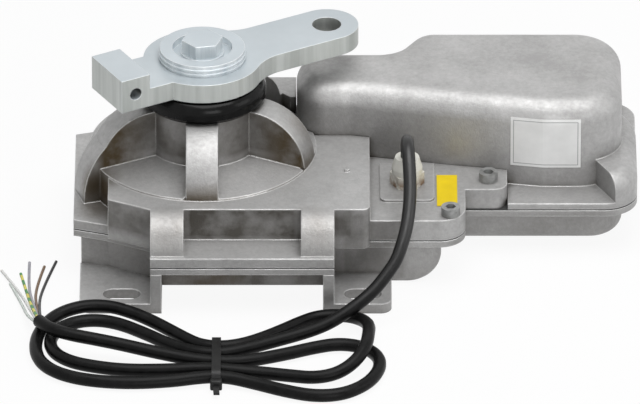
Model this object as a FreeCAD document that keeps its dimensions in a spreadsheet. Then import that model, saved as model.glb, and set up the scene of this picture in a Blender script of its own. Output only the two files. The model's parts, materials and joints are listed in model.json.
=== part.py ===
import FreeCAD, Part
import math
import os
from types import SimpleNamespace

import Sketcher

Vector = FreeCAD.Vector

# Driving dimensions in millimetres, kept in the sheet named Sizes
dimensions = {
    # Foundation feet and the plan of the gearbox
    "slot_spacing_x": 128, "slot_margin": 11, "slot_width": 11, "slot_length": 20,
    "base_depth": 180, "foot_thick": 5.7, "foot_reach_left": 86.4,
    "foot_reach_right": 79.2, "foot_corner": 6, "post_thick": 6, "strip_half": 48.8,
    "axis_x": -21.4, "left_overhang": 3.5, "left_flat": 94, "shoulder_reach": 52, "shoulder_y": 52.5,
    "strip_root_y": 65, "tub_inset": 4, "tub_bottom": 1, "floor_thick": 4,
    # Heights of the castings
    "parting_z": 27, "gasket_thick": 0.6, "lower_flange": 3.7, "strip_top": 33, "ledge_top": 39.5,
    "cover_flange": 3.4, "deck_z": 51.4, "roof_thick": 5.4, "cover_top": 80, "seam": 0.3,
    # Gearbox top
    "deck_left": 50, "deck_setback": 21, "deck_corner_y": 58, "deck_chamfer": 22, "deck_right": 67.6,
    "deck_corner": 4, "pip_x": 55.6, "pip_y": -26.6, "pip_radius": 1.5, "pip_height": 1.2,
    "rim_radius": 60.5, "pocket_overrun": 1, "floor_rise": 1, "floor_slope": 3.6, "boss_radius": 30,
    "rib_width": 17, "rib_count": 5, "left_rib_reach": 69, "left_rib_angle": 198, "left_rib_bend": 43,
    "left_rib_drop": 4, "front_rib_width": 17.7, "rib_root": 4, "ledge_front_y": 60, "ledge_right": 118.6,
    "ledge_corner": 14, "lug_right": 141, "lug_front_y": 25.5, "gland_pad": 29, "gland_pad_front": 19,
    "gland_pad_back": 22, "gland_pad_rise": 1.5, "gland_pad_corner": 4, "rear_left": -6, "rear_front": 40,
    "rear_back": 62, "rear_top": 60,
    # Motor cover and tray
    "neck_left": 28.8, "neck_front_y": 13, "neck_back_y": 59, "neck_bend_x": 57.6, "wall_mid_x": 110.6,
    "wall_mid_y": 2, "wall_far_x": 160, "cover_right": 202.6, "cover_front_y": -7,
    "cover_back_y": 82, "step_x": 80, "step_run": 14, "neck_corner": 15, "cover_corner": 25,
    "cover_edge": 12, "cover_wall": 4, "cover_roof": 7, "flange_right": 210.6, "flange_front_y": 26,
    "flange_back_y": 88, "neck_flange": 7, "flange_corner": 18, "tray_bottom": 5.5, "tray_inset": 4,
    "tray_edge": 9, "bulge_setback": 13, "bulge_corner": 18, "ear_left": 16, "ear_root_y": 3,
    "ear_angle": -70, "ear_back_y": 36, "ear_top": 46, "ear_edge": 9,
    # Output shaft, bearings, gear and seal
    "shaft_radius": 12.5, "shaft_body": 15, "gear_seat": 17, "bearing_radius": 23.5,
    "lower_bearing_thick": 8, "upper_bearing_thick": 12, "bearing_sunk": 2.9, "running_fit": 0.04,
    "bearing_wall": 4.5, "gear_gap": 1, "gear_width": 15, "gear_module": 2, "gear_teeth": 50,
    "pinion_teeth": 16, "pressure_angle": 20, "tooth_root": 1.2, "tooth_tip": 0.9, "tooth_share": 0.46,
    "end_play": 0.3, "shaft_collar": 20, "collar_height": 4, "gear_room": 1.5, "seal_radius": 34,
    "seal_height": 12.7, "seal_gap": 0.4,
    # Lever and its bolt
    "lever_thick": 10.6, "lever_hub": 31.5, "lever_reach": 76, "lever_tip": 17, "lever_hole": 7.8,
    "lever_angle": 29.5, "lever_fillet": 26, "block_reach": 49.5, "block_long": 17, "block_wide": 33,
    "block_height": 19, "block_hole": 3.4, "square_side": 18, "square_play": 0.05, "disc_radius": 22.7,
    "disc_thick": 6.5, "disc_recess": 16, "recess_depth": 4, "bolt_radius": 6, "bolt_length": 30,
    "bolt_end_gap": 1, "bolt_flats": 19, "bolt_head": 7.5, "bolt_turn": 12, "washer_radius": 11.5,
    "washer_thick": 1.6,
    # Intermediate shaft and worm stage
    "layshaft_y": 4.5, "layshaft_radius": 7.5, "lay_bearing_radius": 14, "lay_bearing_thick": 7,
    "lay_collar": 10, "lay_seat_wall": 3, "pinion_room": 1, "lay_top_radius": 5, "lay_bush_radius": 8,
    "lay_bush_thick": 6, "wheel_module": 1.25, "wheel_teeth": 30, "wheel_thick": 9, "wheel_room": 1.5,
    "worm_share": 0.4, "worm_pitch_radius": 10, "worm_length": 19, "worm_half_turns": 1.75,
    "thread_sunk": 0.25, "motor_z": 37.5,
    # Motor
    "can_radius": 24, "can_wall": 2, "can_left": 104, "can_length": 76, "bell_thick": 6, "nose_radius": 14,
    "nose_left": 60, "nose_room": 2, "motor_shaft": 4, "shaft_clear": 1, "motor_bearing": 11,
    "motor_bearing_thick": 7, "rotor_radius": 14.5, "rotor_left": 114, "rotor_length": 36,
    "winding_radius": 12.5, "winding_length": 6, "commutator_radius": 8, "commutator_length": 12,
    "magnet_gap": 0.8, "magnet_half_angle": 60, "brush_side": 5, "holder_radius": 13.2,
    "encoder_radius": 13, "encoder_thick": 1.5, "board_thick": 1.6, "board_radius": 18, "saddle_width": 6,
    # Screws through the flanges
    "screw_radius": 3, "screw_head": 5, "screw_head_height": 5, "screw_play": 0.1, "socket_radius": 2.85,
    "strip_screw_margin": 10, "strip_screw_left": -40, "strip_screw_right": 8, "cover_screw_left": 40,
    "cover_screw_inset": 11.6, "cover_screw_edge": 8, "ledge_screw_inset": 8, "ledge_screw_edge": 7,
    "lug_screw_inset": 10, "lug_screw_edge": 10.5,
    # Gland and cable
    "gland_x": 87.6, "gland_y": -21, "gland_flats": 16, "gland_hex_height": 7, "gland_cap_radius": 8.2,
    "gland_top_radius": 6.4, "gland_cap_height": 9, "gland_lip": 3, "gland_hole_play": 1,
    "cable_diameter": 7, "cable_rise": 7, "hank_bottom": 1.6, "hank_height": 13, "tie_thick": 1.2,
    "tie_width": 4.8, "tie_play": 3, "tie_x": -13.4, "waist_front": 82, "waist_back": 38,
}

# The lead's way from the gland to the hank, in x and y from the gland and in height
lead_points = [(0, -5, 70.2), (0.3, -14, 71.5), (1.2, -24, 66.5), (1.6, -33, 60), (0.8, -41, 54),
               (0, -49, 48.5), (-1.2, -56, 43), (-3.2, -62, 37), (-6, -67.5, 31), (-11.6, -73, 25),
               (-17.6, -78.5, 19.5), (-25, -84.5, 15.5), (-33.3, -91, 12.2), (-42.1, -97.5, 9.3)]

# Edge of the hank on each side of its waist, in x from the tie and in y before the feet
hank_right = [(23.4, 92), (37.4, 100), (53.4, 103), (69.4, 97), (81.4, 86), (88.4, 70), (86.4, 53),
              (82.4, 28), (75.4, 13), (59.4, 8), (37.4, 20), (21.4, 32)]
hank_left = [(-16.6, 28), (-38.6, 9), (-63.6, 5), (-83.6, 10), (-96.6, 27), (-98.6, 44), (-91.6, 67),
             (-76.6, 82), (-56.6, 89), (-31.6, 90), (-14.6, 86)]

os.makedirs("parts", exist_ok=True)
doc = FreeCAD.newDocument("swing_gate_motor")
sheet = doc.addObject("Spreadsheet::Sheet", "Sizes")


# A size knows its value and the expression that binds a property to the sheet
class Size:
    def __init__(self, value, text):
        self.value = float(value)
        self.text = text

    def __add__(self, other):
        other = as_size(other)
        return Size(self.value + other.value, f"({self.text} + {other.text})")

    def __sub__(self, other):
        other = as_size(other)
        return Size(self.value - other.value, f"({self.text} - {other.text})")

    def __mul__(self, other):
        other = as_size(other)
        return Size(self.value * other.value, f"({self.text} * {other.text})")

    def __truediv__(self, other):
        other = as_size(other)
        return Size(self.value / other.value, f"({self.text} / {other.text})")

    def __radd__(self, other):
        return as_size(other) + self

    def __rsub__(self, other):
        return as_size(other) - self

    def __rmul__(self, other):
        return as_size(other) * self

    def __neg__(self):
        return Size(-self.value, f"(0 - {self.text})")


def as_size(number):
    if isinstance(number, Size):
        return number
    return Size(number, f"({float(number)})")


def square_root(size):
    return Size(math.sqrt(size.value), f"sqrt({size.text})")


def cosine(degrees):
    degrees = as_size(degrees)
    return Size(math.cos(math.radians(degrees.value)), f"cos({degrees.text} * 1deg)")


def sine(degrees):
    degrees = as_size(degrees)
    return Size(math.sin(math.radians(degrees.value)), f"sin({degrees.text} * 1deg)")


dim = SimpleNamespace()
for row, (alias, value) in enumerate(dimensions.items(), start=1):
    sheet.set(f"A{row}", alias)
    sheet.set(f"B{row}", str(value))
    sheet.setAlias(f"B{row}", alias)
doc.recompute()
for alias in dimensions:
    setattr(dim, alias, Size(sheet.get(alias), f"Sizes.{alias}"))

pieces = []


def bind(thing, prop, size):
    thing.setExpression(prop, as_size(size).text)


def new_body(name):
    body = doc.addObject("PartDesign::Body", name)
    body.Label = name
    pieces.append(body)
    return body


def place(body, x=0, y=0, z=0, axis=Vector(0, 0, 1), turn=0):
    x, y, z, turn = as_size(x), as_size(y), as_size(z), as_size(turn)
    spot = Vector(x.value, y.value, z.value)
    body.Placement = FreeCAD.Placement(spot, FreeCAD.Rotation(axis, turn.value))
    bind(body, "Placement.Base.x", x)
    bind(body, "Placement.Base.y", y)
    bind(body, "Placement.Base.z", z)
    bind(body, "Placement.Rotation.Angle", turn)


def new_sketch(body, role, lift=0, shift_x=0, shift_y=0):
    plane = [feature for feature in body.Origin.OriginFeatures if feature.Role == role][0]
    sketch = body.newObject("Sketcher::SketchObject", f"{body.Name}_sketch")
    sketch.AttachmentSupport = [(plane, "")]
    sketch.MapMode = "FlatFace"
    for name, size in (("x", shift_x), ("y", shift_y), ("z", lift)):
        bind(sketch, f"AttachmentOffset.Base.{name}", size)
    return sketch


def pin_point(sketch, edge, position, x, y):
    for kind, size in (("DistanceX", as_size(x)), ("DistanceY", as_size(y))):
        number = sketch.addConstraint(Sketcher.Constraint(kind, -1, 1, edge, position, size.value))
        bind(sketch, f"Constraints[{number}]", size)


# A corner is (x, y), or (x, y, radius) where an arc leaves it, to the left if the radius is positive
def draw_outline(sketch, corners):
    first = sketch.GeometryCount
    count = len(corners)
    ends = []
    for index, corner in enumerate(corners):
        here = Vector(as_size(corner[0]).value, as_size(corner[1]).value, 0)
        following = corners[(index + 1) % count]
        there = Vector(as_size(following[0]).value, as_size(following[1]).value, 0)
        if len(corner) == 2:
            sketch.addGeometry(Part.LineSegment(here, there))
            ends.append((1, 2))
            continue
        bend = as_size(corner[2]).value
        chord = there - here
        left = Vector(-chord.y, chord.x, 0).normalize()
        rise = math.sqrt(max(bend * bend - (chord.Length / 2) ** 2, 0))
        centre = here + chord * 0.5 + left * math.copysign(rise, bend)
        circle = Part.Circle(centre, Vector(0, 0, 1), abs(bend))
        start, stop = (here, there) if bend > 0 else (there, here)
        angles = [math.atan2(point.y - centre.y, point.x - centre.x) for point in (start, stop)]
        sketch.addGeometry(Part.ArcOfCircle(circle, angles[0], angles[1]))
        ends.append((1, 2) if bend > 0 else (2, 1))
    for index in range(count):
        after = (index + 1) % count
        sketch.addConstraint(Sketcher.Constraint(
            "Coincident", first + index, ends[index][1], first + after, ends[after][0]))
    for index, corner in enumerate(corners):
        pin_point(sketch, first + index, ends[index][0], corner[0], corner[1])
        if len(corner) == 3:
            size = as_size(corner[2])
            size = size if size.value > 0 else -size
            number = sketch.addConstraint(Sketcher.Constraint("Radius", first + index, size.value))
            bind(sketch, f"Constraints[{number}]", size)


def draw_circle(sketch, x, y, radius):
    centre = Vector(as_size(x).value, as_size(y).value, 0)
    edge = sketch.addGeometry(Part.Circle(centre, Vector(0, 0, 1), as_size(radius).value))
    pin_point(sketch, edge, 3, x, y)
    number = sketch.addConstraint(Sketcher.Constraint("Radius", edge, as_size(radius).value))
    bind(sketch, f"Constraints[{number}]", radius)


def rectangle(x_low, x_high, y_low, y_high):
    return [(x_low, y_low), (x_high, y_low), (x_high, y_high), (x_low, y_high)]


def extrude(body, kind, sketch, length, reverse=False):
    feature = body.newObject(f"PartDesign::{kind}", f"{body.Name}_{kind.lower()}")
    feature.Profile = sketch
    feature.Reversed = reverse
    bind(feature, "Length", length)
    return feature


# Pads fill upwards from low to high, and pockets clear the same height
def pad(body, outlines, low, high, circles=()):
    return solid_between(body, "Pad", False, outlines, low, high, circles)


def pocket(body, outlines, low, high, circles=()):
    return solid_between(body, "Pocket", True, outlines, low, high, circles)


def solid_between(body, kind, reverse, outlines, low, high, circles):
    sketch = new_sketch(body, "XY_Plane", lift=low)
    for corners in outlines:
        draw_outline(sketch, corners)
    for x, y, radius in circles:
        draw_circle(sketch, x, y, radius)
    return extrude(body, kind, sketch, as_size(high) - low, reverse)


def revolve(body, kind, profile, shift_x=0):
    sketch = new_sketch(body, "XZ_Plane", shift_x=shift_x)
    draw_outline(sketch, profile)
    feature = body.newObject(f"PartDesign::{kind}", f"{body.Name}_{kind.lower()}")
    feature.Profile = sketch
    feature.ReferenceAxis = (sketch, ["V_Axis"])
    feature.Angle = 360
    return feature


# A turned piece on an axis through its placement, standing up or lying along X
def turned(name, profile, x, y, z=0, along_x=False):
    body = new_body(name)
    revolve(body, "Revolution", profile)
    if along_x:
        place(body, x, y, z, Vector(0, 1, 0), 90)
    else:
        place(body, x, y, z)
    return body


def ring_profile(inner, outer, low, high):
    return [(inner, low), (outer, low), (outer, high), (inner, high)]


def bearing_profile(inner, outer, low, thick):
    high = low + thick
    land = (outer - inner) / 4
    dish = thick / 10
    return [(inner, low), (inner + land, low), (inner + land, low + dish), (outer - land, low + dish),
            (outer - land, low), (outer, low), (outer, high), (outer - land, high),
            (outer - land, high - dish), (inner + land, high - dish), (inner + land, high), (inner, high)]


def round_edges(body, chooser, radius):
    doc.recompute()
    base = body.Tip
    edges = [f"Edge{number}" for number, edge in enumerate(base.Shape.Edges, start=1) if chooser(edge)]
    feature = body.newObject("PartDesign::Fillet", f"{body.Name}_fillet")
    feature.Base = (base, edges)
    bind(feature, "Radius", radius)
    return feature


# Edges are chosen by where they lie, to within this much
near_enough = 0.05


def upright_at(*spots):
    places = [(as_size(x).value, as_size(y).value) for x, y in spots]

    def chosen(edge):
        ends = [vertex.Point for vertex in edge.Vertexes]
        upright = len(ends) == 2 and abs(ends[0].z - ends[1].z) > 2 * near_enough
        return upright and any(math.dist((point.x, point.y), spot) < near_enough
                               for point in ends for spot in places)
    return chosen


def level_at(height, inside=None):
    level = as_size(height).value

    def chosen(edge):
        points = edge.discretize(5)
        flat = all(abs(point.z - level) < near_enough for point in points)
        return flat and (inside is None or all(inside(point) for point in points))
    return chosen


def hexagon(flats, x=0, y=0):
    reach = flats / math.sqrt(3)
    return [(x + reach * math.cos(math.radians(60 * step)), y + reach * math.sin(math.radians(60 * step)))
            for step in range(6)]


# Places shared by several pieces
half_depth = dim.base_depth / 2
deck_front_y = half_depth - dim.deck_setback
upper_z = dim.parting_z + dim.gasket_thick
floor_z = dim.tub_bottom + dim.floor_thick
gear_low = floor_z + dim.lower_bearing_thick + dim.gear_gap
gear_high = gear_low + dim.gear_width
gear_outer = dim.gear_module * (dim.gear_teeth / 2 + 1)
gear_cavity = gear_outer + dim.gear_room
pinion_room = dim.gear_module * (dim.pinion_teeth / 2 + 1) + dim.pinion_room
centre_distance = dim.gear_module * (dim.gear_teeth + dim.pinion_teeth) / 2
lay_reach = square_root(centre_distance * centre_distance - dim.layshaft_y * dim.layshaft_y)
layshaft_x = dim.axis_x + lay_reach
wheel_radius = dim.wheel_module * dim.wheel_teeth / 2
motor_y = dim.layshaft_y + wheel_radius + dim.worm_pitch_radius
wheel_low = dim.motor_z - dim.wheel_thick / 2
wheel_high = dim.motor_z + dim.wheel_thick / 2
dome_top = dim.deck_z + dim.rim_radius - dim.boss_radius
upper_seat_z = dome_top - dim.bearing_sunk - dim.upper_bearing_thick
seal_top = dome_top + dim.seal_height
lever_z = seal_top + dim.seal_gap
lay_seat_z = wheel_high + dim.end_play
can_right = dim.can_left + dim.can_length
lever_top = lever_z + dim.lever_thick
recess_z = lever_top + dim.disc_thick - dim.recess_depth
left_x = -dim.foot_reach_left - dim.left_overhang
shoulder_x = dim.axis_x - dim.shoulder_reach
half_flat = dim.left_flat / 2
neck_slope = (dim.wall_mid_y - dim.neck_front_y) / (dim.wall_mid_x - dim.neck_bend_x)
deck_seam_y = dim.neck_front_y + neck_slope * (dim.deck_right - dim.neck_bend_x) - dim.seam
front_slope = (dim.cover_front_y - dim.wall_mid_y) / (dim.wall_far_x - dim.wall_mid_x)
lug_seam_y = dim.wall_mid_y + front_slope * (dim.lug_right - dim.wall_mid_x) - dim.seam
neck_flange_y = dim.neck_back_y + dim.neck_flange
wheel_room = wheel_radius + dim.wheel_module + dim.wheel_room
bulge_right = dim.ledge_right - dim.bulge_setback
lower_flange_z = dim.parting_z - dim.lower_flange
tray_front = dim.tray_inset - dim.flange_front_y
tray_back = dim.flange_back_y - dim.tray_inset
tray_right = dim.flange_right - 2 * dim.tray_inset

# Screws through both flanges: (x, y, height of the face under the head)
strip_screw_y = half_depth - dim.strip_screw_margin
cover_screw_x = dim.flange_right - dim.cover_screw_inset
cover_screw_z = upper_z + dim.cover_flange
ledge_screw = (dim.ledge_right - dim.ledge_screw_inset, dim.ledge_screw_edge - dim.ledge_front_y)
lug_screw = (dim.lug_right - dim.lug_screw_inset, dim.lug_screw_edge - dim.lug_front_y)
ledge_screws = [ledge_screw + (dim.ledge_top,), lug_screw + (dim.ledge_top,)]
strip_screws = [(dim.strip_screw_left, strip_screw_y, dim.strip_top),
                (dim.strip_screw_right, strip_screw_y, dim.strip_top)]
cover_screws = [(cover_screw_x, dim.flange_back_y - dim.cover_screw_edge, cover_screw_z),
                (dim.cover_screw_left, strip_screw_y, cover_screw_z)]
all_screws = ledge_screws + strip_screws + cover_screws


def screw_circles(screws):
    return [(x, y, dim.screw_radius + dim.screw_play) for x, y, top in screws]


def gearbox_left(inset):
    return [(-dim.strip_half, dim.strip_root_y - inset), (shoulder_x + inset / 2, dim.shoulder_y - inset),
            (left_x + inset, half_flat - inset / 2), (left_x + inset, inset / 2 - half_flat),
            (shoulder_x + inset / 2, inset - dim.shoulder_y), (-dim.strip_half, inset - dim.strip_root_y)]


def parting_outline():
    zero = as_size(0)
    return [(-dim.strip_half, -half_depth), (dim.strip_half, -half_depth),
            (dim.strip_half, -dim.ledge_front_y), (dim.ledge_right, -dim.ledge_front_y),
            (dim.ledge_right, -dim.flange_front_y), (dim.flange_right, -dim.flange_front_y),
            (dim.flange_right, dim.flange_back_y), (dim.step_x, dim.flange_back_y),
            (dim.step_x, neck_flange_y), (dim.strip_half, neck_flange_y),
            (dim.strip_half, half_depth), (-dim.strip_half, half_depth)] + gearbox_left(zero)


def motor_room():
    left = dim.step_x + dim.tray_inset
    right = dim.cover_right - dim.cover_wall
    back = dim.cover_back_y - dim.cover_wall
    front = dim.cover_front_y + dim.cover_wall
    return [(left, dim.wall_mid_y + 2 * dim.cover_wall), (dim.wall_far_x, front),
            (right, front), (right, back), (left, back)]


def neck_room(left, right):
    return rectangle(left, right, dim.neck_front_y + dim.cover_wall, dim.neck_back_y - dim.cover_wall)


def tub_outline():
    inset = dim.tub_inset
    return [(dim.strip_half, inset - dim.strip_root_y), (dim.strip_half, inset - dim.ledge_front_y),
            (bulge_right, inset - dim.ledge_front_y),
            (bulge_right, dim.strip_root_y - inset)] + gearbox_left(inset)


# Lower casting: tub, motor tray, cavities and bearing seats
def make_lower_housing():
    body = new_body("lower_housing")
    pad(body, [tub_outline()], dim.tub_bottom, dim.parting_z)
    on_bulge = level_at(dim.tub_bottom, lambda point: abs(point.x - bulge_right.value) < near_enough)
    round_edges(body, on_bulge, dim.bulge_corner)
    pad(body, [rectangle(dim.step_x, tray_right, tray_front, tray_back)], dim.tray_bottom, dim.parting_z)
    round_edges(body, upright_at((tray_right, tray_front), (tray_right, tray_back)), dim.flange_corner)
    bulge_end = bulge_right.value + near_enough
    round_edges(body, level_at(dim.tray_bottom, lambda point: point.x > bulge_end), dim.tray_edge)
    pocket(body, [], floor_z, dim.parting_z, [(dim.axis_x, 0, gear_cavity)])
    pocket(body, [], floor_z, dim.parting_z, [(layshaft_x, dim.layshaft_y, pinion_room)])
    pocket(body, [neck_room(dim.neck_left + dim.cover_wall, dim.step_x + 3 * dim.tray_inset)],
           dim.motor_z - dim.nose_radius - dim.nose_room, dim.parting_z)
    tray_floor = dim.tray_bottom + dim.floor_thick
    pocket(body, [motor_room()], tray_floor, dim.parting_z)
    pad(body, [], floor_z, floor_z + dim.lower_bearing_thick,
        [(dim.axis_x, 0, dim.bearing_radius + dim.bearing_wall)])
    pad(body, [], floor_z, floor_z + dim.lay_bearing_thick,
        [(layshaft_x, dim.layshaft_y, dim.lay_bearing_radius + dim.lay_seat_wall)])
    pocket(body, [], floor_z, floor_z + dim.lower_bearing_thick, [(dim.axis_x, 0, dim.bearing_radius)])
    pocket(body, [], floor_z, floor_z + dim.lay_bearing_thick,
           [(layshaft_x, dim.layshaft_y, dim.lay_bearing_radius)])
    saddle_half = dim.can_radius / 2
    for x in (dim.can_left + dim.saddle_width, can_right - 2 * dim.saddle_width):
        pad(body, [rectangle(x, x + dim.saddle_width, motor_y - saddle_half, motor_y + saddle_half)],
            tray_floor, tray_floor + dim.saddle_width)
    bore = new_sketch(body, "YZ_Plane", lift=dim.can_left - dim.bell_thick)
    draw_circle(bore, motor_y, dim.motor_z, dim.can_radius)
    extrude(body, "Pocket", bore, dim.can_length + 2 * dim.bell_thick, True)
    pocket(body, [], lower_flange_z, dim.parting_z, screw_circles(all_screws))


# Parting flange of the lower casting, round the tub and the tray
def make_lower_flange():
    body = new_body("lower_flange")
    pad(body, [parting_outline()], lower_flange_z, dim.parting_z)
    round_edges(body, upright_at((dim.flange_right, -dim.flange_front_y),
                                 (dim.flange_right, dim.flange_back_y)), dim.flange_corner)
    round_edges(body, upright_at((dim.ledge_right, -dim.ledge_front_y)), dim.ledge_corner)
    bend = dim.flange_corner
    tray = [(dim.step_x, tray_front), (tray_right - bend, tray_front, bend), (tray_right, tray_front + bend),
            (tray_right, tray_back - bend, bend), (tray_right - bend, tray_back), (dim.step_x, tray_back)]
    pocket(body, [tub_outline()], lower_flange_z, dim.parting_z)
    pocket(body, [tray], lower_flange_z, dim.parting_z)
    pocket(body, [], lower_flange_z, dim.parting_z, screw_circles(all_screws))


# Four feet of the lower casting: a slotted plate against the tub, and a post up to the flange
def make_feet():
    tub_y = dim.strip_root_y - dim.tub_inset
    left_y = half_flat - dim.tub_inset / 2
    bulge_y = dim.ledge_front_y - dim.tub_inset
    inner_x = dim.strip_half - dim.post_thick
    left_plate = [(-dim.foot_reach_left, half_depth), (-inner_x, half_depth), (-inner_x, tub_y),
                  (-dim.strip_half, tub_y), (shoulder_x + dim.tub_inset / 2, dim.shoulder_y - dim.tub_inset),
                  (left_x + dim.tub_inset, left_y), (-dim.foot_reach_left, left_y)]
    rear_plate = rectangle(inner_x, dim.foot_reach_right, tub_y, half_depth)
    front_plate = [(inner_x, half_depth), (dim.foot_reach_right, half_depth), (dim.foot_reach_right, bulge_y),
                   (dim.strip_half, bulge_y), (dim.strip_half, tub_y), (inner_x, tub_y)]
    half_run = (dim.slot_length - dim.slot_width) / 2
    half_wide = dim.slot_width / 2
    for end, front, right_plate in (("front", -1, front_plate), ("rear", 1, rear_plate)):
        for hand, plate, post_x, outer_x, slot_x in (
                ("left", left_plate, -dim.strip_half, -dim.foot_reach_left, dim.slot_spacing_x / -2),
                ("right", right_plate, inner_x, dim.foot_reach_right, dim.slot_spacing_x / 2)):
            body = new_body(f"{end}_{hand}_foot")
            pad(body, [[(x, y * front) for x, y in plate]], 0, dim.foot_thick)
            post = rectangle(post_x, post_x + dim.post_thick, half_depth * front, tub_y * front)
            pad(body, [post], 0, lower_flange_z)
            round_edges(body, upright_at((outer_x, half_depth * front)), dim.foot_corner)
            low = (half_depth - dim.slot_margin) * front - half_wide
            middle, high = low + half_wide, low + dim.slot_width
            slot = [(slot_x - half_run, low), (slot_x + half_run, low, half_wide),
                    (slot_x + half_run + half_wide, middle, half_wide), (slot_x + half_run, high),
                    (slot_x - half_run, high, half_wide), (slot_x - half_run - half_wide, middle, half_wide)]
            pocket(body, [slot], 0, dim.foot_thick)


# Upper casting: parting flange, deck, rear block, ribbed dome, front ribs, ledge with lug, seats
def make_upper_housing():
    body = new_body("upper_housing")
    back_x = dim.neck_left - dim.seam
    zero = as_size(0)
    seam_line = [(dim.lug_right, lug_seam_y), (dim.wall_mid_x, dim.wall_mid_y - dim.seam),
                 (dim.neck_bend_x, dim.neck_front_y - dim.seam), (back_x, dim.neck_front_y - dim.seam)]
    flange = [(-dim.strip_half, -half_depth), (dim.strip_half, -half_depth),
              (dim.strip_half, -dim.ledge_front_y), (dim.ledge_right, -dim.ledge_front_y),
              (dim.ledge_right, -dim.lug_front_y), (dim.lug_right, -dim.lug_front_y)] + seam_line
    flange += [(back_x, half_depth), (-dim.strip_half, half_depth)] + gearbox_left(zero)
    pad(body, [flange], upper_z, dim.strip_top)
    round_edges(body, upright_at((dim.ledge_right, -dim.ledge_front_y)), dim.ledge_corner)
    round_edges(body, upright_at((dim.lug_right, -dim.lug_front_y)), dim.ledge_corner / 2)
    ledge_left = dim.deck_right - dim.ledge_corner
    lug_corner = dim.ledge_corner / 2
    ledge = [(ledge_left, -dim.ledge_front_y),
             (dim.ledge_right - dim.ledge_corner, -dim.ledge_front_y, dim.ledge_corner),
             (dim.ledge_right, dim.ledge_corner - dim.ledge_front_y), (dim.ledge_right, -dim.lug_front_y),
             (dim.lug_right - lug_corner, -dim.lug_front_y, lug_corner),
             (dim.lug_right, lug_corner - dim.lug_front_y)] + seam_line[:3]
    ledge += [(ledge_left, dim.neck_front_y - dim.seam)]
    pad(body, [ledge], upper_z, dim.ledge_top)
    pad_left = dim.gland_x - dim.gland_pad / 2
    pad_right = dim.gland_x + dim.gland_pad / 2
    pad_front = dim.gland_y - dim.gland_pad_front
    pad(body, [rectangle(pad_left, pad_right, pad_front, dim.gland_y + dim.gland_pad_back)],
        upper_z, dim.ledge_top + dim.gland_pad_rise)
    round_edges(body, upright_at((pad_left, pad_front), (pad_right, pad_front)), dim.gland_pad_corner)
    deck_left = dim.axis_x - dim.deck_left
    deck = [(deck_left, -dim.deck_corner_y), (deck_left + dim.deck_chamfer, -deck_front_y),
            (dim.deck_right, -deck_front_y), (dim.deck_right, deck_seam_y),
            (dim.neck_bend_x, dim.neck_front_y - dim.seam),
            (back_x, dim.neck_front_y - dim.seam), (back_x, dim.neck_back_y / 3), (deck_left, 0)]
    pad(body, [deck], upper_z, dim.deck_z)
    round_edges(body, upright_at((dim.deck_right, -deck_front_y)), dim.deck_corner)
    pad(body, [], upper_z, dim.deck_z + dim.pip_height, [(dim.pip_x, dim.pip_y, dim.pip_radius)])
    pad(body, [rectangle(dim.rear_left, back_x, dim.rear_front, dim.rear_back)], upper_z, dim.rear_top)
    dome_bend = dim.rim_radius - dim.boss_radius
    dome = [(0, upper_z), (dim.rim_radius, upper_z), (dim.rim_radius, dim.deck_z, dome_bend),
            (dim.boss_radius, dome_top), (0, dome_top)]
    revolve(body, "Revolution", dome, dim.axis_x)
    left_rib(body)
    dome_pockets(body)
    front_ribs(body)
    pocket(body, [], upper_z, gear_high + dim.gear_room, [(dim.axis_x, 0, gear_cavity)])
    roof = dim.deck_z - dim.roof_thick
    pocket(body, [], upper_z, roof, [(dim.axis_x, 0, dim.rim_radius - 2 * dim.cover_wall)])
    pocket(body, [rectangle(dim.axis_x, dim.deck_right - dim.cover_wall, 4 * dim.cover_wall - deck_front_y,
                            dim.neck_front_y)], upper_z, lay_seat_z)
    pocket(body, [], upper_z, lay_seat_z, [(layshaft_x, dim.layshaft_y, wheel_room)])
    pocket(body, [], roof, dome_top, [(dim.axis_x, 0, dim.shaft_body + dim.gear_room)])
    pocket(body, [], upper_seat_z, dome_top, [(dim.axis_x, 0, dim.bearing_radius)])
    pocket(body, [], lay_seat_z, lay_seat_z + dim.lay_bush_thick,
           [(layshaft_x, dim.layshaft_y, dim.lay_bush_radius)])
    small = dim.neck_corner
    front = dim.neck_front_y - dim.seam
    neck = [(back_x + small, front), (dim.deck_right, front), (dim.deck_right, dim.neck_back_y),
            (back_x, dim.neck_back_y), (back_x, front + small, small)]
    pocket(body, [neck], upper_z, dome_top)
    pocket(body, [], upper_z, dim.ledge_top, screw_circles(ledge_screws + strip_screws))
    pocket(body, [], upper_z, dim.ledge_top + dim.gland_pad_rise,
           [(dim.gland_x, dim.gland_y, dim.cable_diameter / 2 + dim.gland_hole_play)])


# The rib on the left runs on past the rim, down to the parting flange
def left_rib(body):
    sketch = new_sketch(body, "XZ_Plane", shift_x=dim.axis_x)
    sketch.AttachmentOffset = FreeCAD.Placement(
        Vector(dim.axis_x.value, 0, 0), FreeCAD.Rotation(Vector(0, 1, 0), dim.left_rib_angle.value))
    bind(sketch, "AttachmentOffset.Rotation.Angle", dim.left_rib_angle)
    root = dim.boss_radius - dim.rib_root
    draw_outline(sketch, [(root, dim.strip_top), (dim.left_rib_reach, dim.strip_top, dim.left_rib_bend),
                          (root, dome_top - dim.left_rib_drop)])
    rib = extrude(body, "Pad", sketch, dim.rib_width)
    rib.Midplane = True


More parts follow.
